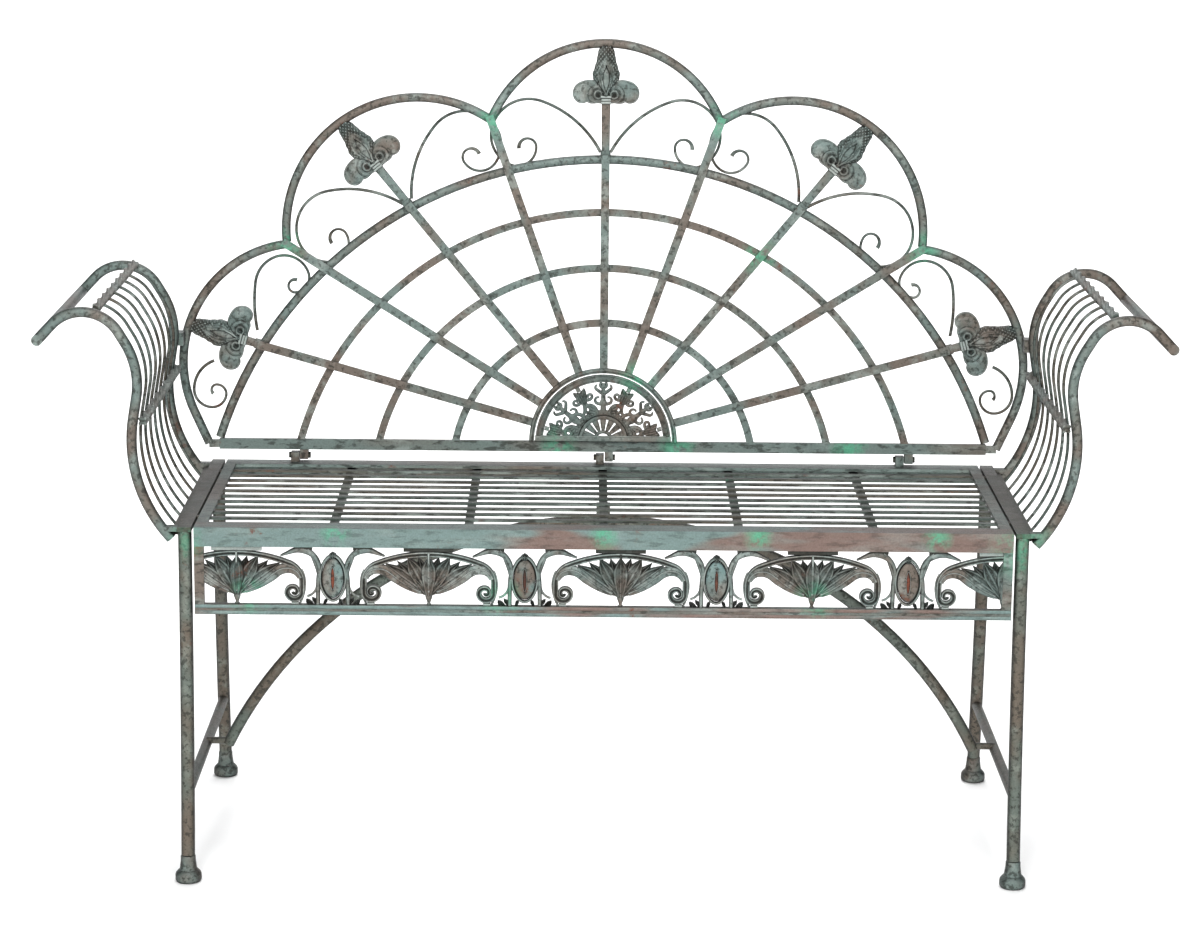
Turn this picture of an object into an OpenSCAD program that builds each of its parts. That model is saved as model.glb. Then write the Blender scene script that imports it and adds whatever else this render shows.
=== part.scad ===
// Garden bench in bent steel tube and bar: a slatted seat on four splayed legs, a cast frieze
// under the front rail, lyre shaped arms and a sunburst back with a scalloped border.
// The origin is on the floor under the middle of the whole bench, and the front faces -Y.

/* [Seat] */
// width over the two side bars
seat_w = 1048; // [850:1:1400]
// depth over the front and back rails
seat_d = 385; // [320:1:480]
// height of the seat above the floor
seat_h = 450; // [380:1:520]
// height of an angle rail's upright leaf
rail_h = 24; // [16:1:40]
// width of the front and back rails' top leaf
rail_leaf = 28; // [18:1:40]
// width of the side rails' top leaf
side_leaf = 14; // [10:1:30]
// thickness of both leaves
rail_t = 4; // [3:0.5:6]
// number of slats
slat_count = 11; // [5:1:17]
// width of a slat
slat_w = 8; // [5:0.5:14]
// thickness of a slat
slat_t = 3; // [2:0.5:6]
// number of bars that cross under the slats
cross_count = 5; // [3:2:7]
// width of a cross bar
cross_w = 11; // [6:1:20]
// thickness of a cross bar
cross_t = 4; // [3:0.5:8]
// distance from one cross bar to the next
cross_pitch = 168; // [100:1:240]

/* [Side frames] */
// width of the flat bar along the top of a side frame
side_bar_w = 17; // [12:1:30]
// thickness of that bar
side_bar_t = 6; // [4:0.5:10]
// space between a side frame and the seat frame
frame_gap = 3; // [1:0.5:8]
// diameter of a leg
leg_d = 17; // [13:0.5:26]
// how far a foot stands out from the top of its leg
leg_splay = 28; // [8:1:60]
// height of a foot
foot_h = 34; // [20:1:50]
// diameter of a foot's disc
foot_d = 33; // [24:1:48]
// height of a foot's disc with its bevels
disc_h = 15; // [8:1:20]
// diameter at the neck of a foot
neck_d = 20; // [18:0.5:30]
// height of the stretchers' centre line
stretcher_z = 112; // [70:1:200]
// diameter of a stretcher
stretcher_d = 13; // [9:0.5:18]

/* [Arch brace] */
// diameter of the arched tube under the seat
brace_d = 15; // [10:0.5:22]
// space between each end of the arch and the leg beside it
brace_inset = 20; // [12:1:60]
// height of the arch's centre line at its crown
brace_crown_z = 416; // [300:1:420]
// diameter of the pins that hold the arch
brace_pin_d = 9; // [6:0.5:12]

/* [Apron] */
// height of the cast frieze
frieze_h = 73; // [50:1:90]
// thickness of the frieze
frieze_t = 6; // [4:0.5:10]
// height of the bar under the frieze
apron_bar_h = 13; // [8:1:20]
// width of the posts at its ends
apron_post_w = 12; // [8:1:20]
// depth of the bar and the posts
apron_t = 8; // [6:0.5:14]
// length of one repeat of the frieze
motif_pitch = 236.4; // [160:0.1:320]
// how far the pattern is shifted from the middle
motif_shift = 21; // [-118:1:118]
// radius of the arched bands at their crown
band_crown_r = 174; // [120:1:240]
// radius of the arched bands at their shoulders
band_r = 28; // [20:1:40]
// width of the arched bands
band_w = 7; // [4:0.5:12]
// space between the crown of a band and the rail
band_drop = 5; // [3:1:12]
// distance of a volute from the middle of its lotus
volute_out = 71; // [60:1:85]
// outer radius of a volute
volute_r = 12.5; // [8:0.5:16]
// half width of an oval boss
boss_half_w = 14.5; // [8:0.5:20]
// half height of an oval boss
boss_half_h = 26; // [16:0.5:32]

/* [Arms] */
// diameter of the two bent tubes of an arm
arm_tube_d = 13; // [9:0.5:18]
// how far outside the side bar the tubes start
arm_start_out = 8; // [7.5:0.5:30]
// how far below the seat they start
arm_start_drop = 16; // [0:1:30]
// how far the front tube is set in from the front
arm_front_inset = 8; // [7:1:40]
// how far the back tube is set in from the back
arm_back_inset = 20; // [16:1:60]
// direction in which the tubes start, up from level
arm_start_turn = 48; // [30:1:60]
// radius of the belly
arm_belly_r = 180; // [120:1:220]
// radius of the waist
arm_waist_r = 100; // [40:1:160]
// radius of the rolled top
arm_crown_r = 51; // [40:0.5:80]
// number of thin rods in an arm
rod_count = 7; // [3:1:12]
// diameter of a rod
rod_d = 4; // [3:0.5:8]
// size of the twisted square bars
twist_bar = 9; // [6:0.5:14]
// quarter turns in a twisted bar
twist_quarters = 9; // [4:1:16]
// size of the square bar at the foot of the rods
base_bar = 8; // [6:0.5:12]
// diameter of the bar that joins the tips
tip_bar_d = 13.5; // [13.5:0.5:18]

/* [Back] */
// lean of the back
recline = 5; // [0:0.5:12]
// space between the seat and the back's bottom rail
back_gap = 17; // [8:1:40]
// how far the back is set in from the back of the seat
back_inset = 12; // [6:1:40]
// height of the bottom rail
back_rail_h = 14; // [10:0.5:24]
// depth of the bottom rail
back_rail_t = 10; // [6:0.5:16]
// half length of the bottom rail
back_half = 513; // [420:1:680]
// diameter of the main arch
main_d = 12; // [9:0.5:18]
// rise of the main arch
main_rise = 376; // [280:1:460]
// width of the flat hoops inside it
hoop_w = 10; // [6:0.5:16]
// thickness of the hoops
hoop_t = 5; // [3:0.5:8]
// width of a spoke
spoke_w = 11; // [7:0.5:18]
// thickness of a spoke
spoke_t = 5; // [3:0.5:8]
// lean of the spokes on either side of the upright one
spoke_turn_1 = 19.6; // [15:0.1:22]
// lean of the second spokes
spoke_turn_2 = 39.7; // [35:0.1:44]
// lean of the third spokes
spoke_turn_3 = 58.3; // [53:0.1:63]
// lean of the fourth spokes
spoke_turn_4 = 74.6; // [70:0.1:79]

/* [Scalloped border] */
// diameter of the border's tube
lobe_d = 12; // [9:0.5:18]
// distance from the hub to the upper valleys
valley_reach = 453; // [420:1:520]
// distance from the hub to the side valleys
side_valley_reach = 496; // [470:1:560]
// rise of the top lobe above its valleys
top_lobe_rise = 102; // [70:1:140]
// rise of the shoulder lobes above their valleys
shoulder_lobe_rise = 101; // [70:1:140]
// radius of the side lobes
side_lobe_r = 160; // [130:1:190]
// how far the side lobes stand out from the middle
side_lobe_out = 561; // [500:1:640]
// distance of the border's feet from the middle
lobe_foot_out = 527; // [460:1:640]
// diameter of the scrolled wire
wire_d = 3.5; // [2.5:0.5:6]
// height of a fleur from its collar to its tip
fleur_h = 74; // [50:1:90]
// width of a fleur
fleur_w = 87; // [60:1:110]
// thickness of a fleur
fleur_t = 10; // [6:0.5:14]

/* [Medallion] */
// outer radius of the half round rim
medal_r = 99; // [70:1:120]
// width of the rim
medal_rim_w = 7; // [4:0.5:12]
// space between the rim and the casting
medal_gap = 1.5; // [1:0.5:8]
// thickness of the casting
medal_t = 5; // [3:0.5:8]

/* [Hidden] */
$fn = 32;
arc_fn = 240;            // fineness of the widest bends
weld_bite = 0.5;         // how far a welded end sinks into the bar it meets
bend_trim = 0.4;         // a bent bar's runs stop this short of the joint between them
collar_w = 2;            // width of the collar over such a joint
collar_t = 0.25;         // thickness of that collar
over = 1;                // how far a cut runs past the face it opens
far = 2000;              // larger than the whole bench
leg_x = seat_w / 2 - side_bar_w / 2;
leg_y = seat_d / 2 - leg_d / 2;
frame_half = seat_w / 2 - side_bar_w - frame_gap;    // half length of the seat frame
slat_top = seat_h - rail_t;
slat_span = seat_d - 2 * rail_leaf;
slat_pitch = slat_span / slat_count;
cross_top = slat_top - slat_t;
cross_length = seat_d - 2 * rail_t;
leg_top = seat_h - side_bar_t;
leg_drop = leg_top - foot_h;
leg_bow_r = (leg_drop * leg_drop + leg_splay * leg_splay) / (2 * leg_splay);
leg_turn = asin(leg_drop / leg_bow_r);
foot_y = leg_y + leg_splay;
stretcher_y = leg_y + leg_bow_r - sqrt(pow(leg_bow_r, 2) - pow(leg_top - stretcher_z, 2));
brace_half = leg_x - brace_inset - leg_d / 2;
brace_rise = brace_crown_z - stretcher_z;
apron_top = seat_h - rail_h;
apron_bottom = apron_top - frieze_h - apron_bar_h;
frieze_bottom = apron_top - frieze_h;
apron_y = -seat_d / 2;
frieze_half = frame_half - apron_post_w;
frieze_y = apron_y + frieze_t + 1;                   // back of the frieze
band_top = frieze_h - band_drop;                     // height of a band's crown above the apron's bar
band_pad = 62;                                       // length of the pad between a crown and the rail
petal_turns = [0, 29, 54, 64];                       // lean of a lotus's petals, on each side
petal_lengths = [48, 54, 65, 74];
petal_widths = [23, 20, 18, 16];
bowl_y = 13.5;                                       // height of the petals' common foot
finial_w = 7;                                        // width of the drop under it
rim_w = 3;                                           // width of the thin ribs
stem_w = 5;                                          // width of the stems beside a boss
curl_r = 28;                                         // outer radius of the curl on top of a stem
curl_w = 7;
curl_pad = 22;                                       // length of the pad between a curl and the rail
tie_turn = 57;                                       // slope of the tie from a curl to the arched band
tie_length = 17;
hook_r = 15.5;                                       // outer radius of the small hook at a stem's foot
boss_y = frieze_h / 2 - 3;                           // height of a boss's middle above the apron's bar
boss_rim = 5;                                        // width of the raised rim around its dome
boss_stand = 2;                                      // how far a boss stands out in front of the frieze
arm_start_x = seat_w / 2 + arm_start_out;
arm_front_y = -seat_d / 2 + arm_front_inset;
arm_back_y = seat_d / 2 - arm_back_inset;
arm_belly_turn = 51.5;
arm_waist_rise = 27;                                 // straight length from the belly to the waist
arm_waist_turn = 40.5;
arm_crown_rise = 14;                                 // straight length from the waist to the crown
arm_crown_turn = 106;
arm_tail = 25;                                       // straight length from the crown to the tip bar's middle
mid_turn = 50.5;                                     // place of the middle bar along the belly
top_turn = 43;                                       // place of the top bar along the crown
arm_runs = [[arm_belly_r, arm_belly_turn], [0, arm_waist_rise], [arm_waist_r, -arm_waist_turn],
            [0, arm_crown_rise], [arm_crown_r, -arm_crown_turn],
            [0, arm_tail - tip_bar_d / 2 + weld_bite]];
rod_inset = 5;                                       // how far the rods lie inside the tubes' middle line
base_rise = 7.5;                                     // height of the base bar above the foot of the tubes
rod_start = 1.7;                                     // place of the rods' feet along the belly
rod_stop = top_turn - (twist_bar / 2 - weld_bite) * 180 / PI / arm_crown_r;
rod_runs = [[arm_belly_r - rod_inset, arm_belly_turn - rod_start], [0, arm_waist_rise],
            [arm_waist_r + rod_inset, -arm_waist_turn], [0, arm_crown_rise], [arm_crown_r + rod_inset, -rod_stop]];
link_cut = arm_start_x + belly_point(4)[0];          // the links end inside the tubes
arm_length_y = arm_back_y - arm_front_y - arm_tube_d;
arm_mid_y = (arm_front_y + arm_back_y) / 2;
back_y = seat_d / 2 - back_inset;
hub_z = seat_h + back_gap + back_rail_h;             // the spokes point at the middle of the rail's top
main_r = arc_radius(back_half, main_rise);
main_turn = acos((main_r - main_rise) / (main_r - main_d / 2));    // its ends stand on the rail
hoops = [[404, 306], [299, 232], [197, 159]];        // half width and rise of each flat hoop
spoke_turns = [0, spoke_turn_1, spoke_turn_2, spoke_turn_3, spoke_turn_4];
tube_mid = -main_d / 2;                              // the tubes' middle plane behind the back's front
valley_1 = from_hub(spoke_turn_1, valley_reach);
valley_3 = from_hub(spoke_turn_3, side_valley_reach);
top_lobe_r = arc_radius(valley_1[0], top_lobe_rise);
shoulder_half = norm(valley_3 - valley_1) / 2;
shoulder_r = arc_radius(shoulder_half, shoulder_lobe_rise);
shoulder_mid = (valley_1 + valley_3) / 2;
shoulder_dir = (valley_3 - valley_1) / (2 * shoulder_half);
shoulder_c = shoulder_mid + (shoulder_lobe_rise - shoulder_r) * [-shoulder_dir[1], shoulder_dir[0]];
top_lobe_c = [0, valley_1[1] + top_lobe_rise - top_lobe_r];
side_c = [side_lobe_out - side_lobe_r,
          valley_3[1] - sqrt(pow(side_lobe_r, 2) - pow(valley_3[0] - side_lobe_out + side_lobe_r, 2))];
lobe_foot = [lobe_foot_out, -back_rail_h / 2];
foot_reach = norm(lobe_foot - side_c);
side_end_turn = atan2(lobe_foot[1] - side_c[1], lobe_foot[0] - side_c[0]) + acos(side_lobe_r / foot_reach);
lobe_overrun = 5;                                    // extra turn at a lobe's ends, mitred away at the valleys
lobe_trim = 1;                                       // how much a shoulder lobe's ends draw back from the mitres
scroll_start = [spoke_w / 2 + wire_d / 2 - weld_bite, main_d / 2 + wire_d];
scroll_runs = [[140, -43], [51, -89], [42, -86], [25, -114], [11.5, -190]];
upper_scroll_runs = [[207, 18], [41, 63], [34, 90], [20, 105], [8.6, 205]];
lower_scroll_runs = [[41, -70], [24, -90], [19, -80], [12.6, -100], [7, -140]];
lug_spots = [-406, 2, 404];
lug_w = 11;
lug_h = back_gap - 4;
lug_t = 14;
bolt_d = 6;
back_top_y = back_y + (top_lobe_c[1] + top_lobe_r) * sin(recline) - (tube_mid - lobe_d / 2) * cos(recline);
front_reach = foot_y + foot_d / 2;
back_reach = max(back_top_y, front_reach);
middle_y = (back_reach - front_reach) / 2;           // middle of the whole bench from the seat's middle

// ---- shared shapes ----
function arc_radius(half, rise) = (half * half + rise * rise) / (2 * rise);
function arc_half_turn(half, rise) = 2 * atan(rise / half);
function from_hub(turn, reach) = [reach * sin(turn), reach * cos(turn)];
// distance from the hub, along a spoke, to a circle around c
function ray_reach(turn, c, r) =
    let (dir = from_hub(turn, 1), along = dir * c, off = c * c - along * along) along + sqrt(r * r - off);
// a point on a bent run, from its start, after a turn to the left
function left_turn_point(r, turn) = [r * sin(turn), r * (1 - cos(turn))];
function right_turn_point(r, turn) = [r * sin(turn), -r * (1 - cos(turn))];
function turned(p, turn) = [p[0] * cos(turn) - p[1] * sin(turn), p[0] * sin(turn) + p[1] * cos(turn)];

module steel() color([0.47, 0.54, 0.52]) children();
module casting() color([0.44, 0.50, 0.48]) children();
module dark_steel() color([0.33, 0.34, 0.30]) children();
module rust() color([0.45, 0.28, 0.24]) children();

// everything sits with the middle of the whole bench over the origin
module in_place() translate([0, -middle_y, 0]) children();
module right_or_left(side) mirror([side < 0 ? 1 : 0, 0, 0]) children();

// a round bar bent in the XY plane: each run is [radius, turn], or [0, length] when it is straight,
// and a collar hardly wider than the bar closes each joint between two runs
module bent_bar(runs, r, i = 0) {
    if (i < len(runs)) {
        bend = runs[i][0];
        turn = runs[i][1];
        side = sign(turn);
        trim = i == len(runs) - 1 ? 0 : bend_trim;
        if (i > 0) rotate([0, 90, 0]) cylinder(h = collar_w, r = r + collar_t, center = true);
        if (bend == 0) {
            rotate([0, 90, 0]) cylinder(h = turn - trim, r = r);
            translate([turn, 0, 0]) bent_bar(runs, r, i + 1);
        } else {
            cut = trim * 180 / PI / bend;
            translate([0, side * bend, 0]) rotate([0, 0, side > 0 ? -90 : 90 + turn + cut])
                rotate_extrude(angle = abs(turn) - cut) translate([bend, 0]) circle(r = r);
            translate([bend * sin(abs(turn)), side * bend * (1 - cos(turn)), 0])
                rotate([0, 0, turn]) bent_bar(runs, r, i + 1);
        }
    }
}

// arches stand on the centre of their circle
module round_arch(path_r, half_turn, r)
    rotate([0, 0, 90 - half_turn]) rotate_extrude(angle = 2 * half_turn, $fn = arc_fn)
        translate([path_r, 0]) circle(r = r);
module flat_arch(path_r, half_turn, w, t)
    rotate([0, 0, 90 - half_turn]) rotate_extrude(angle = 2 * half_turn, $fn = arc_fn)
        translate([path_r - w / 2, 0]) square([w, t]);

// a pointed leaf with its foot on the origin and its tip up the Y axis
module leaf(length, width) {
    r = (length * length + width * width) / (4 * width);
    intersection() {
        translate([r - width / 2, length / 2]) circle(r = r);
        translate([width / 2 - r, length / 2]) circle(r = r);
    }
}

module ring(r, w) difference() {
    circle(r = r);
    circle(r = r - w);
}

// ---- seat ----
module long_rail() {
    translate([-frame_half, 0, seat_h - rail_t]) cube([2 * frame_half, rail_leaf, rail_t]);
    translate([-frame_half, 0, seat_h - rail_h]) cube([2 * frame_half, rail_t, rail_h]);
}

module side_rail() {
    translate([frame_half - side_leaf, -slat_span / 2, seat_h - rail_t]) cube([side_leaf, slat_span, rail_t]);
    translate([frame_half - rail_t, -cross_length / 2, seat_h - rail_h])
        cube([rail_t, cross_length, rail_h - rail_t]);
}

module seat_front_rail() in_place() steel() translate([0, -seat_d / 2, 0]) long_rail();
module seat_back_rail() in_place() steel() rotate([0, 0, 180]) translate([0, -seat_d / 2, 0]) long_rail();
module seat_left_rail() in_place() steel() mirror([1, 0, 0]) side_rail();
module seat_right_rail() in_place() steel() side_rail();

module seat_slats() in_place() steel()
    for (i = [0 : slat_count - 1])
        translate([rail_t - frame_half, (i - (slat_count - 1) / 2) * slat_pitch - slat_w / 2, cross_top])
            cube([2 * (frame_half - rail_t), slat_w, slat_t]);

module seat_cross_bars() in_place() steel()
    for (i = [0 : cross_count - 1])
        translate([(i - (cross_count - 1) / 2) * cross_pitch - cross_w / 2, -cross_length / 2, cross_top - cross_t])
            cube([cross_w, cross_length, cross_t]);

// ---- side frames ----
module side_bar(side) translate([side * leg_x - side_bar_w / 2, -seat_d / 2, leg_top])
    cube([side_bar_w, seat_d, side_bar_t]);
module left_side_bar() in_place() dark_steel() side_bar(-1);
module right_side_bar() in_place() dark_steel() side_bar(1);

// a leg leaves the side bar upright and bows out to its foot
module leg_tube(x, front) translate([x, front * leg_y, leg_top])
    rotate([0, 0, front < 0 ? 180 : 0]) rotate([0, 90, 0])
        bent_bar([[leg_bow_r, leg_turn]], leg_d / 2, $fn = arc_fn);
module leg(side, front) in_place() steel() difference() {
    leg_tube(side * leg_x, front);
    translate([side * leg_x, front * foot_y, foot_h - far / 2]) cube([leg_d * 4, leg_d * 8, far], center = true);
}
module front_left_leg() leg(-1, -1);
module front_right_leg() leg(1, -1);
module back_left_leg() leg(-1, 1);
module back_right_leg() leg(1, 1);

// a foot flares out from its neck into a bevelled disc
module foot(side, front) in_place() steel() translate([side * leg_x, front * foot_y, 0]) {
    bevel = disc_h / 4;
    cylinder(h = bevel, r1 = foot_d / 2 - bevel, r2 = foot_d / 2);
    translate([0, 0, bevel]) cylinder(h = disc_h - 2 * bevel, r = foot_d / 2);
    translate([0, 0, disc_h - bevel]) cylinder(h = bevel, r1 = foot_d / 2, r2 = foot_d / 2 - bevel);
    translate([0, 0, disc_h]) cylinder(h = foot_h - disc_h, r1 = foot_d / 2 - bevel - 1, r2 = neck_d / 2);
}
module front_left_foot() foot(-1, -1);
module front_right_foot() foot(1, -1);
module back_left_foot() foot(-1, 1);
module back_right_foot() foot(1, 1);

module stretcher_tube(side) translate([side * leg_x, -stretcher_y, stretcher_z])
    rotate([-90, 0, 0]) cylinder(h = 2 * stretcher_y, d = stretcher_d);
module stretcher(side) in_place() steel() difference() {
    stretcher_tube(side);
    leg_tube(side * leg_x, -1);
    leg_tube(side * leg_x, 1);
}
module left_stretcher() stretcher(-1);
module right_stretcher() stretcher(1);

// ---- arch brace ----
module brace_tube() translate([0, 0, brace_crown_z - arc_radius(brace_half, brace_rise)]) rotate([90, 0, 0])
    round_arch(arc_radius(brace_half, brace_rise), arc_half_turn(brace_half, brace_rise), brace_d / 2);
module arch_brace() in_place() steel() brace_tube();

module brace_brackets() in_place() steel() {
    for (side = [-1, 1]) difference() {
        translate([side * brace_half, 0, stretcher_z + brace_pin_d / 2]) rotate([0, side * 90, 0])
            cylinder(h = leg_x - brace_half, d = brace_pin_d);
        stretcher_tube(side);
        brace_tube();
    }
    difference() {
        translate([-cross_w * 0.8, -brace_d * 0.4, brace_crown_z])
            cube([cross_w * 1.6, brace_d * 0.8, cross_top - cross_t - brace_crown_z]);
        brace_tube();
    }
}

// ---- apron ----
module apron_frame() in_place() steel() translate([0, apron_y, 0]) {
    translate([-frame_half, 0, apron_bottom]) cube([2 * frame_half, apron_t, apron_bar_h]);
    for (side = [-1, 1])
        translate([side * (frame_half - apron_post_w / 2) - apron_post_w / 2, 0, frieze_bottom])
            cube([apron_post_w, apron_t, frieze_h]);
}

// a piece of a flat ring between two angles less than half a turn apart
module ring_piece(r, w, from, to) intersection() {
    ring(r, w);
    polygon([[0, 0], 2 * r * [cos(from), sin(from)], 2 * r * [cos((from + to) / 2), sin((from + to) / 2)],
             2 * r * [cos(to), sin(to)]]);
}

// one repeat of the frieze stands on the apron's bar, around a lotus at X = 0
module lotus_motif() {
    half_turn = asin((volute_out + volute_r - band_r) / (band_crown_r - band_r));
    shoulder = [volute_out + volute_r - band_r,
                band_top - band_crown_r + (band_crown_r - band_r) * cos(half_turn)];
    translate([0, band_top - band_crown_r]) ring_piece(band_crown_r, band_w, 89 - half_turn, 91 + half_turn);
    translate([-band_pad / 2, band_top - band_w]) square([band_pad, frieze_h]);
    for (side = [0, 1]) mirror([side, 0]) {
        translate(shoulder) ring_piece(band_r, band_w, -1, 91 - half_turn);
        translate(shoulder) ring_piece(band_r, 2.4 * band_w, 35, 91 - half_turn);
        translate([volute_out + volute_r - band_w, volute_r + 2]) square([band_w, shoulder[1] - volute_r - 2]);
        translate([volute_out, volute_r + 2]) circle(r = volute_r);
        translate([volute_out - finial_w / 2, -over]) square([finial_w, finial_w]);
        for (i = [0 : len(petal_turns) - 1])
            translate([0, bowl_y]) rotate(-petal_turns[i]) leaf(petal_lengths[i], petal_widths[i]);
    }
    translate([-finial_w / 2, -over]) square([finial_w, bowl_y + finial_w]);
}

// stems on each side of a boss rise from the bar, curl outward under the rail and touch the bands
module stem_motif() {
    stem_x = boss_half_w + rim_w;
    for (side = [0, 1]) mirror([side, 0]) {
        translate([stem_x - stem_w / 2, -over]) square([stem_w, frieze_h / 2]);
        translate([stem_x + curl_r + 1, frieze_h - curl_r - 2]) {
            ring_piece(curl_r, curl_w, 80, 215);
            translate([-curl_pad, curl_r - 2]) square([curl_pad, 4 + over]);
            translate([1, curl_r - rim_w]) rotate(-tie_turn) translate([0, -rim_w / 2]) square([tie_length, rim_w]);
        }
        translate([stem_x + stem_w / 2 + hook_r - 1, hook_r - 0.5]) ring_piece(hook_r, rim_w, 150, 265);
    }
    translate([0, boss_y]) oval(boss_half_w + rim_w, boss_half_h + rim_w);
}

module boss_spots() for (i = [-2 : 2]) translate([motif_shift + (i - 0.5) * motif_pitch, boss_y]) children();
module apron_frieze() in_place() casting() translate([0, frieze_y, frieze_bottom]) rotate([90, 0, 0])
    linear_extrude(height = frieze_t) intersection() {
        translate([-frieze_half, 0]) square([2 * frieze_half, frieze_h]);
        difference() {
            for (i = [-2 : 2]) translate([motif_shift + i * motif_pitch, 0]) {
                lotus_motif();
                translate([-motif_pitch / 2, 0]) stem_motif();
            }
            boss_spots() oval(boss_half_w, boss_half_h);
        }
    }

// an oval from two arcs and two round ends
module oval(half_w, half_h) {
    end_r = half_w * 0.62;
    side_r = (pow(half_h - end_r, 2) + pow(half_w, 2) - pow(end_r, 2)) / (2 * (half_w - end_r));
    end_y = half_h - end_r;
    for (side = [-1, 1]) translate([0, side * end_y]) circle(r = end_r);
    intersection() {
        translate([half_w - side_r, 0]) circle(r = side_r);
        translate([side_r - half_w, 0]) circle(r = side_r);
        square([2 * half_w, 2 * end_y * side_r / (side_r - end_r)], center = true);
    }
}

module apron_bosses() in_place() rust() translate([0, frieze_y, frieze_bottom]) rotate([90, 0, 0])
    intersection() {
        boss_spots() difference() {
            linear_extrude(height = frieze_t + boss_stand) oval(boss_half_w, boss_half_h);
            translate([0, 0, frieze_t]) linear_extrude(height = frieze_t)
                oval(boss_half_w - boss_rim, boss_half_h - boss_rim);
            cube([boss_rim, boss_half_h, 3 * frieze_t], center = true);
        }
        translate([-frieze_half, 0, -frieze_t]) cube([2 * frieze_half, frieze_h, 3 * frieze_t]);
    }

// ---- arms ----
// an arm's profile is drawn in the XY plane and stood up facing -Y
module arm_profile(y) translate([arm_start_x, y, seat_h - arm_start_drop]) rotate([90, 0, 0])
    rotate([0, 0, arm_start_turn]) children();
// a point of the belly, and the matching point of the crown, as [out, up] from the start
function belly_point(turn) = turned(left_turn_point(arm_belly_r, turn), arm_start_turn);
function crown_point(turn) =
    let (h1 = arm_start_turn + arm_belly_turn, h2 = h1 - arm_waist_turn,
         a = belly_point(arm_belly_turn) + arm_waist_rise * [cos(h1), sin(h1)],
         b = a + turned(right_turn_point(arm_waist_r, arm_waist_turn), h1) + arm_crown_rise * [cos(h2), sin(h2)])
    b + turned(right_turn_point(arm_crown_r, turn), h2);
// a step towards the sitter from a stretch of the profile that heads in the direction h
function inward(h, step) = step * [-sin(h), cos(h)];
function arm_xz(p) = [arm_start_x + p[0], seat_h - arm_start_drop + p[1]];

module arm_bend(y) arm_profile(y) bent_bar(arm_runs, arm_tube_d / 2);
module tip_bar_shape() {
    heading = arm_start_turn + arm_belly_turn - arm_waist_turn - arm_crown_turn;
    tip = arm_xz(crown_point(arm_crown_turn) + arm_tail * [cos(heading), sin(heading)]);
    translate([tip[0], arm_mid_y, tip[1]]) rotate([90, 0, 0])
        cylinder(h = arm_back_y - arm_front_y + arm_tube_d, d = tip_bar_d, center = true);
}

module arm_rods() for (i = [1 : rod_count]) {
    heading = arm_start_turn + rod_start;
    start = arm_xz(belly_point(rod_start) + inward(heading, rod_inset));
    y = arm_front_y + i * (arm_back_y - arm_front_y) / (rod_count + 1);
    translate([start[0], y, start[1]]) rotate([90, 0, 0]) rotate([0, 0, heading]) bent_bar(rod_runs, rod_d / 2);
}

module twisted_bar(p, lean) translate([p[0], arm_mid_y, p[1]]) rotate([0, -lean, 0]) rotate([90, 0, 0])
    linear_extrude(height = arm_length_y + 2 * weld_bite, center = true, twist = 90 * twist_quarters,
                   slices = 6 * twist_quarters, segments = 0) square(twist_bar, center = true);

module arm_top_bar(side) in_place() steel() right_or_left(side) {
    heading = arm_start_turn + arm_belly_turn - arm_waist_turn - top_turn;
    twisted_bar(arm_xz(crown_point(top_turn) + inward(heading, rod_inset)), 27);
}
module arm_middle_bar(side) in_place() steel() right_or_left(side) {
    inset = rod_inset + twist_bar / 2 + rod_d / 2 - weld_bite;
    twisted_bar(arm_xz(belly_point(mid_turn) + inward(arm_start_turn + mid_turn, inset)), 0);
}
module arm_base_bar(side) in_place() dark_steel() right_or_left(side)
    translate([seat_w / 2 - weld_bite, arm_mid_y - arm_length_y / 2 - weld_bite,
               seat_h - arm_start_drop + base_rise - base_bar / 2])
        cube([base_bar, arm_length_y + 2 * weld_bite, base_bar]);
module arm_tip_bar(side) in_place() steel() right_or_left(side) tip_bar_shape();
module arm_links(side) in_place() steel() right_or_left(side) for (y = [arm_front_y, arm_back_y]) difference() {
    translate([seat_w / 2 - weld_bite, y - 6, leg_top]) cube([arm_start_out + arm_tube_d, 12, side_bar_t]);
    arm_bend(y);
    translate([link_cut, -far / 2, 0]) cube([far, far, far]);
}
module left_arm_front_tube() in_place() steel() right_or_left(-1) arm_bend(arm_front_y);
module left_arm_back_tube() in_place() steel() right_or_left(-1) arm_bend(arm_back_y);
module left_arm_rods() in_place() steel() right_or_left(-1) arm_rods();
module left_arm_top_bar() arm_top_bar(-1);
module left_arm_middle_bar() arm_middle_bar(-1);
module left_arm_tip_bar() arm_tip_bar(-1);
module left_arm_base_bar() arm_base_bar(-1);
module left_arm_links() arm_links(-1);
module right_arm_front_tube() in_place() steel() arm_bend(arm_front_y);
module right_arm_back_tube() in_place() steel() arm_bend(arm_back_y);
module right_arm_rods() in_place() steel() arm_rods();
module right_arm_top_bar() arm_top_bar(1);
module right_arm_middle_bar() arm_middle_bar(1);
module right_arm_tip_bar() arm_tip_bar(1);
module right_arm_base_bar() arm_base_bar(1);
module right_arm_links() arm_links(1);

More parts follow.
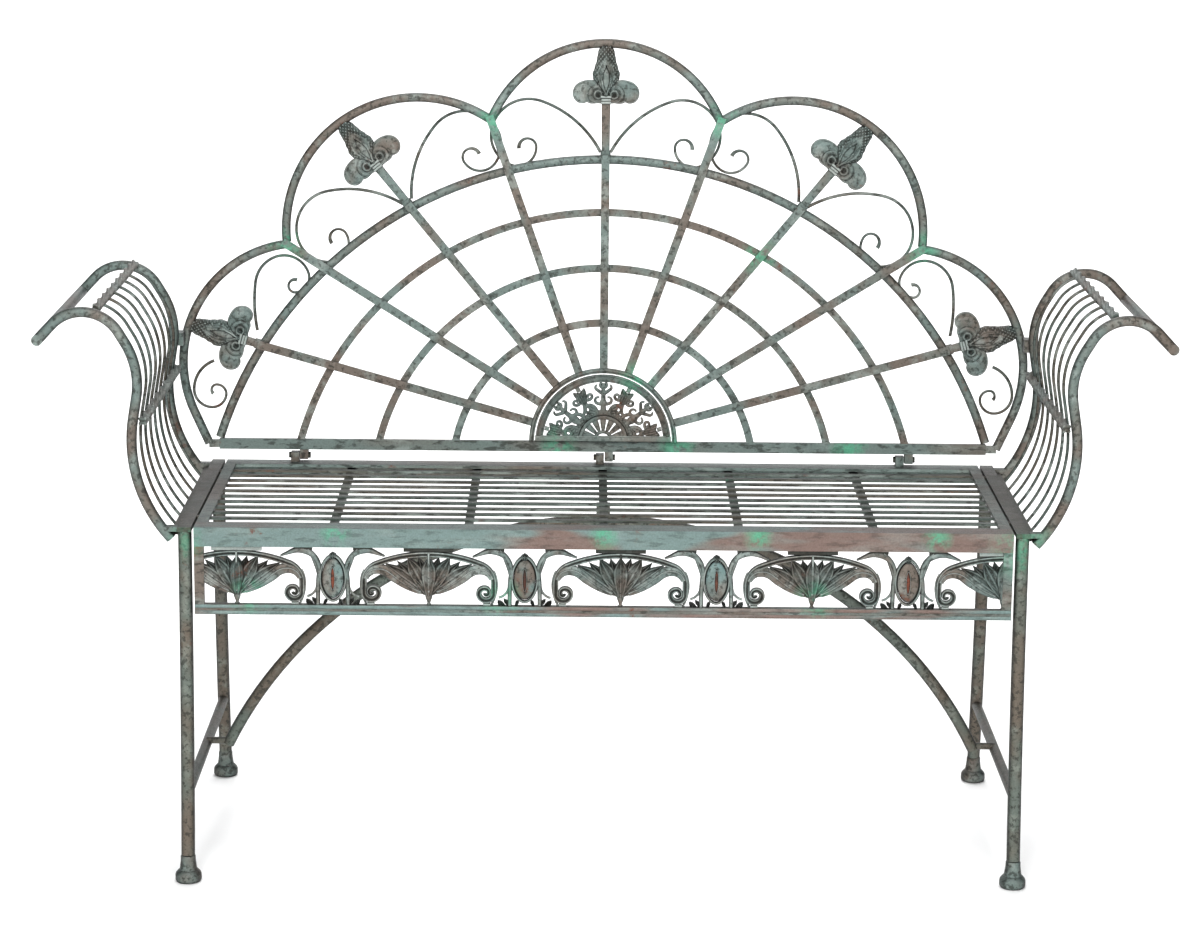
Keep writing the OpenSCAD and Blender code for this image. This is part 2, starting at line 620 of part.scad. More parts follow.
// ---- back: drawn in the XY plane with the hub at the origin, then stood up and leaned back ----
module on_back() translate([0, back_y, hub_z]) rotate([90 - recline, 0, 0]) children();
module back_bottom_rail() in_place() steel() on_back()
    translate([-back_half, -back_rail_h, -back_rail_t]) cube([2 * back_half, back_rail_h, back_rail_t]);
module back_end_links() in_place() steel() on_back() for (side = [-1, 1]) difference() {
    translate([side > 0 ? back_half : -lobe_foot_out, -back_rail_h + 2, -back_rail_t + 1])
        cube([lobe_foot_out - back_half, back_rail_h - 4, back_rail_t - 2]);
    side_lobe_tube(side);
}
module back_main_arch() in_place() steel() on_back()
    translate([0, main_rise - main_r, tube_mid]) round_arch(main_r, main_turn, main_d / 2);
module hoop(i) in_place() steel() on_back() difference() {
    translate([0, hoops[i][1] - arc_radius(hoops[i][0], hoops[i][1]), -hoop_t])
        flat_arch(arc_radius(hoops[i][0], hoops[i][1]), arc_half_turn(hoops[i][0], hoops[i][1]) + 2, hoop_w, hoop_t);
    translate([-far / 2, -far, -far / 2]) cube([far, far, far]);
}
module outer_hoop() hoop(0);
module middle_hoop() hoop(1);
module inner_hoop() hoop(2);

module spoke(turn, from, to) rotate([0, 0, -turn]) translate([-spoke_w / 2, from, 0]) cube([spoke_w, to - from, spoke_t]);
module fleur_spokes() in_place() steel() on_back()
    for (i = [-4, -2, 0, 2, 4]) spoke(sign(i) * spoke_turns[abs(i)], medal_r, main_reach(abs(i)) + main_d / 2);
module valley_spokes() in_place() steel() on_back() for (side = [-1, 1]) {
    spoke(side * spoke_turn_1, medal_r, valley_reach + lobe_d / 2);
    spoke(side * spoke_turn_3, medal_r, side_valley_reach + lobe_d / 2);
}
function main_reach(i) = ray_reach(spoke_turns[i], [0, main_rise - main_r], main_r);

// the wedge of the back between two directions from the hub
module wedge(from, to) linear_extrude(height = far, center = true)
    polygon([[0, 0], from_hub(from, far), from_hub((from + to) / 2, far * 1.4), from_hub(to, far)]);
module top_lobe() in_place() steel() on_back() intersection() {
    translate([top_lobe_c[0], top_lobe_c[1], tube_mid])
        round_arch(top_lobe_r, arc_half_turn(valley_1[0], top_lobe_rise) + lobe_overrun, lobe_d / 2);
    wedge(-spoke_turn_1, spoke_turn_1);
}
module shoulder_lobe() in_place() steel() on_back()
    translate([shoulder_c[0], shoulder_c[1], tube_mid]) rotate([0, 0, atan2(shoulder_dir[1], shoulder_dir[0])])
        round_arch(shoulder_r, arc_half_turn(shoulder_half, shoulder_lobe_rise) - lobe_trim, lobe_d / 2);
module side_lobe_tube(side) right_or_left(side) intersection() {
    translate([side_c[0], side_c[1], tube_mid]) {
        start_turn = atan2(valley_3[1] - side_c[1], valley_3[0] - side_c[0]) + lobe_overrun;
        rotate([0, 0, side_end_turn]) rotate_extrude(angle = start_turn - side_end_turn)
            translate([side_lobe_r, 0]) circle(r = lobe_d / 2);
        rotate([0, 0, side_end_turn]) translate([side_lobe_r, 0, 0]) rotate([90, 0, 0])
            cylinder(h = sqrt(pow(foot_reach, 2) - pow(side_lobe_r, 2)), r = lobe_d / 2);
    }
    wedge(spoke_turn_3, 170);
}
module left_shoulder_lobe() mirror([1, 0, 0]) shoulder_lobe();
module right_shoulder_lobe() shoulder_lobe();
module left_side_lobe() in_place() steel() on_back() side_lobe_tube(-1);
module right_side_lobe() in_place() steel() on_back() side_lobe_tube(1);

// a fleur: a cone shaped bud over two rolled wings, on a stem; its tip is on the origin
module fleur(stem) translate([0, 0, tube_mid]) {
    wing_r = fleur_w * 0.15;
    collar = -fleur_h;
    translate([0, 0, -fleur_t / 2]) linear_extrude(height = fleur_t) difference() {
        union() {
            translate([0, -fleur_h * 0.9]) leaf(fleur_h * 0.9, fleur_w * 0.4);
            translate([0, -fleur_h * 0.14]) circle(r = fleur_w * 0.1);
            for (side = [-1, 1]) {
                translate([side * (fleur_w / 2 - wing_r), collar + fleur_h * 0.36]) circle(r = wing_r);
                translate([side * fleur_w * 0.16, collar + fleur_h * 0.22]) circle(r = wing_r * 0.9);
                translate([0, collar]) rotate(-side * 44) leaf(fleur_h * 0.62, fleur_w * 0.2);
            }
            translate([-spoke_w / 2, collar - stem]) square([spoke_w, stem + fleur_h * 0.3]);
        }
        for (side = [-1, 1]) translate([side * (fleur_w / 2 - wing_r), collar + fleur_h * 0.36])
            circle(r = wing_r * 0.35);
    }
}
module fleur_at(turn, tip, i) rotate([0, 0, -turn]) translate([0, tip, 0])
    fleur(tip - fleur_h - main_reach(i) - main_d / 2 + weld_bite);
module fleurs() in_place() casting() on_back() {
    fleur_at(0, top_lobe_c[1] + top_lobe_r - lobe_d / 2, 0);
    for (side = [-1, 1]) {
        fleur_at(side * spoke_turn_2, ray_reach(spoke_turn_2, shoulder_c, shoulder_r - lobe_d / 2), 2);
        fleur_at(side * spoke_turn_4, ray_reach(spoke_turn_4, side_c, side_lobe_r - lobe_d / 2), 4);
    }
}

module wire(runs) bent_bar(runs, wire_d / 2);
module scroll_pair() for (side = [-1, 1]) right_or_left(side) translate([scroll_start[0], scroll_start[1], 0])
    rotate([0, 0, 62]) wire(scroll_runs);
module scrolls() in_place() steel() on_back() translate([0, 0, tube_mid]) {
    translate([0, main_rise, 0]) scroll_pair();
    for (side = [-1, 1]) right_or_left(side) {
        spot = from_hub(spoke_turn_2, main_reach(2));
        translate([spot[0], spot[1], 0]) rotate([0, 0, atan2(shoulder_dir[1], shoulder_dir[0])]) scroll_pair();
        translate([462, 145, 0]) rotate([0, 0, 79]) wire(upper_scroll_runs);
        translate([520, 104, 0]) rotate([0, 0, -20]) wire(lower_scroll_runs);
    }
}

// ---- medallion ----
module upper_half() intersection() {
    children();
    translate([-far / 2, 0]) square(far);
}
module medallion_rim() in_place() steel() on_back() linear_extrude(height = spoke_t) upper_half()
    ring(medal_r, medal_rim_w);
module medallion_casting() in_place() casting() on_back() linear_extrude(height = medal_t) upper_half() {
    inner_r = medal_r - medal_rim_w - medal_gap;
    ring(inner_r, 9);
    ring(33, 6);
    circle(r = 9);
    translate([-medal_r, 0]) square([2 * medal_r - medal_rim_w, 8]);
    for (i = [-3 : 3]) rotate(i * 24) {
        translate([-2, 8]) square([4, 20]);
        translate([-3, 32]) square([6, inner_r - 38]);
        translate([0, 46]) rotate(45) square(13, center = true);
        translate([0, 60]) square([22, 7], center = true);
        for (side = [-1, 1]) translate([side * 11, 60]) circle(r = 5.5);
        translate([0, 68]) circle(r = 6);
    }
}

// ---- lugs, bolts and spacers ----
// each lug is a pair of tabs side by side, one from the seat rail and one from the back
module back_lugs() in_place() steel() for (x = lug_spots) {
    translate([x - lug_w - weld_bite, back_y - 2, seat_h]) cube([lug_w, lug_t, lug_h]);
    difference() {
        translate([x + weld_bite, back_y - 2, seat_h + back_gap - lug_h]) cube([lug_w, lug_t, lug_h + back_rail_h]);
        translate([0, back_y, hub_z]) rotate([90 - recline, 0, 0])
            translate([-far / 2, -back_rail_h, -far / 2]) cube([far, far, far]);
    }
}
module bolts() in_place() dark_steel() {
    for (x = lug_spots) for (side = [-1, 1])
        translate([x + side * (lug_w + weld_bite), back_y + lug_t / 2 - 2, seat_h + back_gap / 2])
            rotate([0, side * 90, 0]) cylinder(h = 3, d = bolt_d * 1.4, $fn = 6);
    for (side = [-1, 1]) for (y = [-1, 1])
        translate([side * frame_half, y * seat_d / 3, leg_top + side_bar_t / 2])
            rotate([0, side * 90, 0]) cylinder(h = frame_gap, d = bolt_d);
}

// a small plate ties each arm's back tube to the border beside it
module arm_spacers() in_place() steel() for (side = [-1, 1]) right_or_left(side) difference() {
    spot = arm_xz(belly_point(arm_belly_turn));
    translate([side_lobe_out - 3, arm_back_y, spot[1] + 24]) cube([8, back_y - arm_back_y + 14, 17]);
    arm_bend(arm_back_y);
    translate([0, back_y, hub_z]) rotate([90 - recline, 0, 0]) side_lobe_tube(1);
}

seat_front_rail();
seat_back_rail();
seat_left_rail();
seat_right_rail();
seat_slats();
seat_cross_bars();
left_side_bar();
right_side_bar();
apron_frame();
apron_frieze();
apron_bosses();
front_left_leg();
front_right_leg();
back_left_leg();
back_right_leg();
front_left_foot();
front_right_foot();
back_left_foot();
back_right_foot();
left_stretcher();
right_stretcher();
arch_brace();
brace_brackets();
left_arm_front_tube();
left_arm_back_tube();
left_arm_rods();
left_arm_top_bar();
left_arm_middle_bar();
left_arm_tip_bar();
left_arm_base_bar();
left_arm_links();
right_arm_front_tube();
right_arm_back_tube();
right_arm_rods();
right_arm_top_bar();
right_arm_middle_bar();
right_arm_tip_bar();
right_arm_base_bar();
right_arm_links();
back_bottom_rail();
back_end_links();
back_main_arch();
outer_hoop();
middle_hoop();
inner_hoop();
fleur_spokes();
valley_spokes();
top_lobe();
left_shoulder_lobe();
right_shoulder_lobe();
left_side_lobe();
right_side_lobe();
fleurs();
scrolls();
medallion_rim();
medallion_casting();
back_lugs();
bolts();
arm_spacers();
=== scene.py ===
import math

import bpy
import bmesh
from mathutils import Matrix, Vector, noise


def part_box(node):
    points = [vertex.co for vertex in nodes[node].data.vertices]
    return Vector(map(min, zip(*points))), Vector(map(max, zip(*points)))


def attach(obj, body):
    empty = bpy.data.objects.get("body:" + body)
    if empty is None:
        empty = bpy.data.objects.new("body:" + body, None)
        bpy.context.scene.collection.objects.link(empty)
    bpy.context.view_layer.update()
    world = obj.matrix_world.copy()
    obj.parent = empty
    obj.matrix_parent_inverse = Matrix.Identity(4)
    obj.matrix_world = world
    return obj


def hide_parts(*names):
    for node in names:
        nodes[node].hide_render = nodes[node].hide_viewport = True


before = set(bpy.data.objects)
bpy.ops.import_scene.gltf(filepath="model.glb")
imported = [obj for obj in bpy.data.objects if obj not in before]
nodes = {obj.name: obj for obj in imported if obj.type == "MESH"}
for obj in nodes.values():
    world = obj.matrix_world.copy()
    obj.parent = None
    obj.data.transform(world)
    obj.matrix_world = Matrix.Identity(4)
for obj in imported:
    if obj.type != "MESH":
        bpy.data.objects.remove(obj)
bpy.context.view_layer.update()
print("frame loaded")

mm = 0.001


# places taken from the frame

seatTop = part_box("right_side_bar")[1].z
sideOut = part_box("right_side_bar")[1].x                 # outer face of the right side bar
armFrontY = sum(c.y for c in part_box("right_arm_front_tube")) / 2
armBackY = sum(c.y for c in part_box("right_arm_back_tube")) / 2
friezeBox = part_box("apron_frieze")
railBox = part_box("back_bottom_rail")

backShape = {
    "lean": 5,                 # degrees from upright
    "railHeight": 14,
    "mainHalf": 513, "mainRise": 376, "mainTube": 12,
    "hoops": [(404, 306), (299, 232), (197, 159)],      # half width and rise
    "spokeThick": 5,
    "spokeTurns": [0, 19.6, 39.7, 58.3, 74.6],
    "medallionRadius": 99,
    "lobeTube": 12,
    "valley": 453, "sideValley": 496,                   # reach of the valleys from the hub
    "topRise": 102, "shoulderRise": 101,
    "sideRadius": 160, "sideOut": 561,
}
tubeMid = -backShape["mainTube"] / 2

lean = math.radians(backShape["lean"])
hub = Vector((0, railBox[0].y + backShape["railHeight"] * mm * math.sin(lean), railBox[1].z))
onBack = Matrix.Translation(hub) @ Matrix.Rotation(math.radians(90) - lean, 4, "X") @ Matrix.Scale(mm, 4)


def upright(x, y, z, flip=1):      # a drawing plane that stands up and faces the front, in millimetres
    turn = Matrix(((flip, 0, 0, 0), (0, 0, -1, 0), (0, 1, 0, 0), (0, 0, 0, 1)))
    return Matrix.Translation((x, y, z)) @ turn @ Matrix.Scale(mm, 4)


# small geometry helpers; drawings are in millimetres

def fromHub(turn, reach):
    a = math.radians(turn)
    return Vector((reach * math.sin(a), reach * math.cos(a)))


def archRadius(half, rise):
    return (half * half + rise * rise) / (2 * rise)


def rayReach(turn, centre, radius):
    d = fromHub(turn, 1)
    along = d.dot(centre)
    return along + math.sqrt(along * along - centre.length_squared + radius * radius)


def bentPath(start, heading, runs, step=3.0):
    # each run is (radius, turn), or (0, length) when it is straight
    x, y = start
    h = math.radians(heading)
    points = [(x, y)]
    for radius, turn in runs:
        if radius == 0:
            count = max(1, round(turn / step))
            for k in range(1, count + 1):
                points.append((x + math.cos(h) * turn * k / count, y + math.sin(h) * turn * k / count))
        else:
            angle = math.radians(turn)
            side = 1 if turn > 0 else -1
            count = max(3, math.ceil(abs(angle) * radius / step), math.ceil(abs(turn) / 10))
            cx = x - side * radius * math.sin(h)
            cy = y + side * radius * math.cos(h)
            for k in range(1, count + 1):
                a = h + angle * k / count
                points.append((cx + side * radius * math.sin(a), cy - side * radius * math.cos(a)))
            h += angle
        x, y = points[-1]
    return points


def arcPoints(centre, radius, start, stop, count):
    return [(centre[0] + radius * math.cos(math.radians(start + (stop - start) * k / count)),
             centre[1] + radius * math.sin(math.radians(start + (stop - start) * k / count)))
            for k in range(count + 1)]


def roundSection(radius, sides=16):
    return [(radius * math.cos(2 * math.pi * k / sides), radius * math.sin(2 * math.pi * k / sides))
            for k in range(sides)]


def softSection(width, thick, corner, steps=3):     # a bar's section with worn round corners
    ring = []
    for cx, cy, a in ((1, 1, 0), (-1, 1, 90), (-1, -1, 180), (1, -1, 270)):
        for k in range(steps + 1):
            turn = math.radians(a + 90 * k / steps)
            ring.append((cx * (width / 2 - corner) + corner * math.cos(turn),
                         cy * (thick / 2 - corner) + corner * math.sin(turn)))
    return ring


def sweep(mesh, points, section, height=0.0, size=None, closed=False):
    # runs a section along points in the drawing plane; size(u) gives its two scales at u from 0 to 1
    path = [Vector((p[0], p[1], height if len(p) < 3 else p[2])) for p in points]
    count = len(path)
    face = Vector((0, 0, 1))
    rows = []
    for i, p in enumerate(path):
        before = path[i - 1] if i > 0 or closed else p
        after = path[(i + 1) % count] if i < count - 1 or closed else p
        across = (after - before).normalized().cross(face).normalized()
        wide, high = size(i / max(1, count - 1)) if size else (1, 1)
        rows.append([mesh.verts.new(p + across * a * wide + face * b * high) for a, b in section])
    sides = len(section)
    for i in range(count if closed else count - 1):
        now, then = rows[i], rows[(i + 1) % count]
        for j in range(sides):
            mesh.faces.new((now[j], now[(j + 1) % sides], then[(j + 1) % sides], then[j]))
    if not closed:
        mesh.faces.new(rows[0])
        mesh.faces.new(list(reversed(rows[-1])))


def lathe(mesh, profile, place=None, sides=24):     # profile holds (radius, height) up the Z axis
    made = []
    rows = []
    for radius, height in profile:
        rows.append([mesh.verts.new((radius * math.cos(2 * math.pi * k / sides),
                                     radius * math.sin(2 * math.pi * k / sides), height))
                     for k in range(sides)])
        made += rows[-1]
    for now, then in zip(rows, rows[1:]):
        for j in range(sides):
            mesh.faces.new((now[j], now[(j + 1) % sides], then[(j + 1) % sides], then[j]))
    mesh.faces.new(list(reversed(rows[0])))
    mesh.faces.new(rows[-1])
    if place:
        bmesh.ops.transform(mesh, matrix=place, verts=made)


def relief(mesh, outline, centre, shape, rings=8, back=-3.0, finish=None):
    # a closed casting over an outline; shape(x, y, t) is its height, with t from 0 at the edge to 1
    rows = [[mesh.verts.new((x, y, back)) for x, y in outline]]
    for k in range(rings):
        t = k / rings
        row = []
        for x, y in outline:
            px = centre[0] + (x - centre[0]) * (1 - t)
            py = centre[1] + (y - centre[1]) * (1 - t)
            row.append(mesh.verts.new((px, py, shape(px, py, t))))
        rows.append(row)
    count = len(outline)
    faces = []
    for now, then in zip(rows, rows[1:]):
        for j in range(count):
            faces.append(mesh.faces.new((now[j], now[(j + 1) % count], then[(j + 1) % count], then[j])))
    tip = mesh.verts.new((centre[0], centre[1], shape(centre[0], centre[1], 1)))
    for j in range(count):
        faces.append(mesh.faces.new((rows[-1][j], rows[-1][(j + 1) % count], tip)))
    mesh.faces.new(list(reversed(rows[0])))
    if finish is not None:
        for f in faces:
            f.material_index = finish


def smoothLoop(points, cuts=4):        # a closed curve through a few points
    count = len(points)
    loop = []
    for i in range(count):
        a, b, c, d = (Vector(points[(i + k) % count]) for k in (-1, 0, 1, 2))
        for k in range(cuts):
            t = k / cuts
            p = (b * 2 + (c - a) * t + (a * 2 - b * 5 + c * 4 - d) * t * t
                 + (b * 3 - a - c * 3 + d) * t ** 3) / 2
            loop.append((p.x, p.y))
    return loop


def makePiece(name, mesh, place, finish, replaced=(), soften=None, extraFinish=None):
    if place is not None:
        mesh.transform(place)
    bmesh.ops.recalc_face_normals(mesh, faces=mesh.faces)
    for f in mesh.faces:
        f.smooth = True
    data = bpy.data.meshes.new(name)
    mesh.to_mesh(data)
    mesh.free()
    piece = bpy.data.objects.new(name, data)
    bpy.context.scene.collection.objects.link(piece)
    data.materials.append(finish)
    if extraFinish:
        data.materials.append(extraFinish)
    data.set_sharp_from_angle(angle=math.radians(soften or 50))
    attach(piece, "root")
    if replaced:
        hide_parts(*replaced)


# finishes

mintSpots = []        # (place, reach) of the green spots near joints; filled below


def addNode(tree, kind, **settings):
    node = tree.nodes.new(kind)
    for key, value in settings.items():
        if key in node.inputs:
            node.inputs[key].default_value = value
        else:
            setattr(node, key, value)
    return node


def noiseLayer(tree, coords, scale, detail=3.0, rough=0.55, shift=0.0, stretch=None):
    place = addNode(tree, "ShaderNodeMapping")
    place.inputs["Location"].default_value = (shift, shift * 0.7, -shift * 0.4)
    if stretch:
        place.inputs["Scale"].default_value = stretch
    tree.links.new(coords, place.inputs["Vector"])
    cloud = addNode(tree, "ShaderNodeTexNoise", Scale=scale, Detail=detail, Roughness=rough)
    tree.links.new(place.outputs["Vector"], cloud.inputs["Vector"])
    return cloud.outputs["Fac"]


def maskOf(tree, value, low, high, top=1.0):
    step = addNode(tree, "ShaderNodeMapRange", interpolation_type="SMOOTHSTEP")
    step.inputs["From Min"].default_value = low
    step.inputs["From Max"].default_value = high
    step.inputs["To Max"].default_value = top
    tree.links.new(value, step.inputs["Value"])
    return step.outputs["Result"]


def mixColour(tree, amount, first, second, blend="MIX"):
    mix = addNode(tree, "ShaderNodeMix", data_type="RGBA", blend_type=blend)
    for value, index in ((amount, 0), (first, 6), (second, 7)):
        if isinstance(value, (int, float)):
            mix.inputs[index].default_value = value
        elif isinstance(value, tuple):
            mix.inputs[index].default_value = (*value, 1)
        else:
            tree.links.new(value, mix.inputs[index])
    return mix.outputs[2]


def mathOf(tree, operation, first, second):
    node = addNode(tree, "ShaderNodeMath", operation=operation)
    for value, index in ((first, 0), (second, 1)):
        if isinstance(value, (int, float)):
            node.inputs[index].default_value = value
        else:
            tree.links.new(value, node.inputs[index])
    return node.outputs[0]


def spotMask(tree, coords):            # how near a point is to one of the green spots
    nearest = None
    for place, reach in mintSpots:
        gap = addNode(tree, "ShaderNodeVectorMath", operation="DISTANCE")
        gap.inputs[1].default_value = place
        tree.links.new(coords, gap.inputs[0])
        near = addNode(tree, "ShaderNodeMapRange")
        near.inputs["From Min"].default_value = reach
        near.inputs["From Max"].default_value = reach * 0.15
        tree.links.new(gap.outputs["Value"], near.inputs["Value"])
        nearest = near.outputs[0] if nearest is None else mathOf(tree, "MAXIMUM", nearest, near.outputs[0])
    return nearest


# a weathered metal finish with random patina, rust and green spots; it also paints shade into the colour:
# darker corners, darker faces turned away from the front, pale ridges and dark grooves
def weatheredMetalWithPaintedShade(name, look):
    finish = bpy.data.materials.new(name)
    finish.use_nodes = True
    tree = finish.node_tree
    shader = tree.nodes["Principled BSDF"]
    coords = addNode(tree, "ShaderNodeTexCoord").outputs["Object"]
    stretch = look.get("grain")

    patches = noiseLayer(tree, coords, look["patchScale"], 3, 0.6, look["seed"], stretch)
    cloud = noiseLayer(tree, coords, 38, 5, 0.6, look["seed"] + 3.1, stretch)
    speckle = noiseLayer(tree, coords, 420, 4, 0.65, look["seed"] + 5.7)
    streak = noiseLayer(tree, coords, 160, 3, 0.6, look["seed"] + 8.3, stretch)

    colour = mixColour(tree, maskOf(tree, patches, *look["patchEdges"]), look["teal"], look["brown"])
    colour = mixColour(tree, maskOf(tree, cloud, 0.50, 0.66, look["paleAmount"]), colour, look["pale"])
    colour = mixColour(tree, maskOf(tree, streak, 0.50, 0.64, look["darkAmount"]), colour, look["dark"])
    rust = mathOf(tree, "MULTIPLY", maskOf(tree, noiseLayer(tree, coords, 21, 4, 0.7, look["seed"] + 11),
                                           *look["rustEdges"]),
                  maskOf(tree, speckle, 0.38, 0.6))
    colour = mixColour(tree, rust, colour, look["rust"])
    if mintSpots:
        wander = maskOf(tree, noiseLayer(tree, coords, 60, 4, 0.7, 2.2), 0.36, 0.6)
        here = mathOf(tree, "MULTIPLY", spotMask(tree, coords), wander)
        drift = maskOf(tree, noiseLayer(tree, coords, 15, 5, 0.7, look["seed"] + 15), *look["mintEdges"])
        mint = mathOf(tree, "MULTIPLY", mathOf(tree, "MAXIMUM", here, drift), look["mintAmount"])
        colour = mixColour(tree, mint, colour, look["mint"])
    surface = addNode(tree, "ShaderNodeNewGeometry")
    facing = addNode(tree, "ShaderNodeSeparateXYZ")
    tree.links.new(surface.outputs["Normal"], facing.inputs[0])
    if look.get("ridges"):             # on the front, ridges are painted pale, partly as rubbed wear and partly as painted highlight, and grooves are painted dark as painted shade
        shape = surface.outputs["Pointiness"]
        front = maskOf(tree, facing.outputs["Y"], -0.05, -0.3, look["ridges"])
        ridgeWearAndHighlight = mathOf(tree, "MULTIPLY", maskOf(tree, shape, 0.53, 0.62, 0.8), front)
        colour = mixColour(tree, ridgeWearAndHighlight, colour, look["pale"])
        # painted shade: grooves on front faces are darkened
        grooveShade = mathOf(tree, "MULTIPLY", maskOf(tree, shape, 0.49, 0.43), front)
        colour = mixColour(tree, grooveShade, colour, look["dark"])
    # painted shade: ambient occlusion darkens the colour in corners, creases and between parts
    corners = addNode(tree, "ShaderNodeAmbientOcclusion", samples=4, Distance=look["cornerReach"])
    paintedCornerShade = addNode(tree, "ShaderNodeMapRange")
    paintedCornerShade.inputs["From Min"].default_value = 0.25
    paintedCornerShade.inputs["From Max"].default_value = 0.8
    paintedCornerShade.inputs["To Min"].default_value = look["paintedCornerShade"]
    paintedCornerShade.inputs["To Max"].default_value = 0
    tree.links.new(corners.outputs["AO"], paintedCornerShade.inputs["Value"])
    colour = mixColour(tree, paintedCornerShade.outputs[0], colour, look["dark"])
    # painted shade: faces that turn up, down or sideways are painted darker than front and back ones, as the
    # light falls from the front; the speckle adds random tone
    facingLight = maskOf(tree, mathOf(tree, "ABSOLUTE", facing.outputs["Y"], 0), 0.45, 0.99)
    shade = mathOf(tree, "ADD", mathOf(tree, "MULTIPLY", maskOf(tree, speckle, 0.3, 0.7), 0.25),
                   mathOf(tree, "MULTIPLY", facingLight, 1 - look["turnedFaceShade"]))
    lift = addNode(tree, "ShaderNodeMapRange")
    lift.inputs["To Min"].default_value = look["turnedFaceShade"] - 0.1
    lift.inputs["To Max"].default_value = look["turnedFaceShade"] + 0.9
    tree.links.new(shade, lift.inputs["Value"])
    # grey factor that multiplies the colour with the painted shade and the speckle
    shadeMultiplier = addNode(tree, "ShaderNodeCombineColor")
    for k in range(3):
        tree.links.new(lift.outputs[0], shadeMultiplier.inputs[k])
    colour = mixColour(tree, 1.0, colour, shadeMultiplier.outputs[0], "MULTIPLY")
    tree.links.new(colour, shader.inputs["Base Color"])

    wear = addNode(tree, "ShaderNodeMapRange")
    wear.inputs["To Min"].default_value = look["rough"] - 0.14
    wear.inputs["To Max"].default_value = look["rough"] + 0.16
    tree.links.new(cloud, wear.inputs["Value"])
    tree.links.new(wear.outputs[0], shader.inputs["Roughness"])
    shader.inputs["Metallic"].default_value = look["metal"]
    shader.inputs["Specular IOR Level"].default_value = 0.3

    heights = mathOf(tree, "ADD", mathOf(tree, "MULTIPLY", speckle, 0.5), cloud)
    bump = addNode(tree, "ShaderNodeBump", Strength=look["bump"], Distance=0.0012)
    tree.links.new(heights, bump.inputs["Height"])
    tree.links.new(bump.outputs[0], shader.inputs["Normal"])
    return finish


mintPlaces = {                         # where the green shows, with the reach of each spot in metres
    "legs": [("front_left_leg", 0.035), ("front_right_leg", 0.05), ("back_left_leg", 0.03),
             ("back_right_leg", 0.03)],
    "back": [(-60, -4), (44, 84), (330, -6), (-300, 232), (205, 250)], "backReach": 0.03,
    "seatRail": [0.0, 0.19, -0.33, 0.41], "seatRailReach": 0.022,
    "frieze": [-0.128, -0.436, 0.26], "friezeReach": 0.03,
}


def placeMintSpots():
    m = mintPlaces
    for name, reach in m["legs"]:
        low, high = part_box(name)
        front = low.y + 0.009 if "front" in name else high.y - 0.009
        mintSpots.append((((low.x + high.x) / 2, front, high.z - 0.012), reach))
    shape = backShape
    spots = [fromHub(s * shape["spokeTurns"][1], shape["valley"]) for s in (-1, 1)]
    spots += [fromHub(s * shape["spokeTurns"][3], shape["sideValley"]) for s in (-1, 1)]
    spots += [Vector(p) for p in [(shape["medallionRadius"], -6)] + m["back"]]
    for p in spots:
        mintSpots.append((tuple(onBack @ Vector((p.x, p.y, 0))), m["backReach"]))
    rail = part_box("seat_front_rail")
    for x in m["seatRail"]:
        mintSpots.append(((x, rail[0].y, rail[1].z - 0.006), m["seatRailReach"]))
    for x in m["frieze"]:
        mintSpots.append(((x, friezeBox[0].y, friezeBox[0].z + 0.012), m["friezeReach"]))


placeMintSpots()
steelLook = {
    "teal": (0.150, 0.196, 0.180), "brown": (0.150, 0.124, 0.102), "pale": (0.330, 0.380, 0.350),
    "dark": (0.022, 0.023, 0.018), "rust": (0.140, 0.050, 0.030), "mint": (0.090, 0.380, 0.230),
    "patchScale": 9, "patchEdges": (0.42, 0.60), "paleAmount": 0.45, "darkAmount": 0.7,
    "rustEdges": (0.62, 0.74), "mintEdges": (0.69, 0.80), "mintAmount": 0.85,
    "cornerReach": 0.007, "paintedCornerShade": 0.9, "rough": 0.5, "metal": 0.12, "bump": 0.6, "seed": 1.0,
    "turnedFaceShade": 0.26,
}
legLook = dict(steelLook, seed=2.5, teal=(0.125, 0.150, 0.128), brown=(0.135, 0.112, 0.086),
               pale=(0.27, 0.30, 0.26))
barLook = dict(steelLook, seed=4.0, patchScale=9, grain=(0.35, 1, 1))
railLook = dict(steelLook, seed=6.5, patchScale=13, grain=(0.25, 1, 1), teal=(0.165, 0.235, 0.222),
                brown=(0.190, 0.132, 0.112), patchEdges=(0.47, 0.56), bump=0.8, darkAmount=0.35,
                paleAmount=0.25)
castLook = dict(steelLook, seed=9.0, patchScale=12, cornerReach=0.005, paintedCornerShade=1.0, rough=0.5, bump=0.3,
                pale=(0.42, 0.47, 0.44), teal=(0.140, 0.185, 0.172), metal=0.15, ridges=0.9)
darkLook = dict(steelLook, seed=12.0, teal=(0.060, 0.066, 0.050), brown=(0.066, 0.054, 0.040),
                pale=(0.13, 0.14, 0.11), paleAmount=0.3, mintAmount=0.5)
slatLook = dict(steelLook, seed=15.0, patchScale=10, grain=(0.3, 1, 1), brown=(0.098, 0.086, 0.068),
                teal=(0.085, 0.108, 0.095), darkAmount=0.75)
medallionLook = dict(castLook, seed=10.0, ridges=0.45, teal=(0.120, 0.155, 0.142), pale=(0.30, 0.34, 0.31))
ropeLook = dict(slatLook, seed=16.0, turnedFaceShade=0.5, paintedCornerShade=1.0, pale=(0.36, 0.40, 0.37), teal=(0.12, 0.15, 0.135),
                ridges=0.9)
bossLook = dict(castLook, seed=18.0, teal=(0.160, 0.245, 0.235), paleAmount=0.3, rustEdges=(0.56, 0.68),
                ridges=0.5)
rustLook = dict(steelLook, seed=21.0, teal=(0.220, 0.060, 0.034), brown=(0.060, 0.024, 0.018),
                pale=(0.30, 0.12, 0.07), mintAmount=0.1)

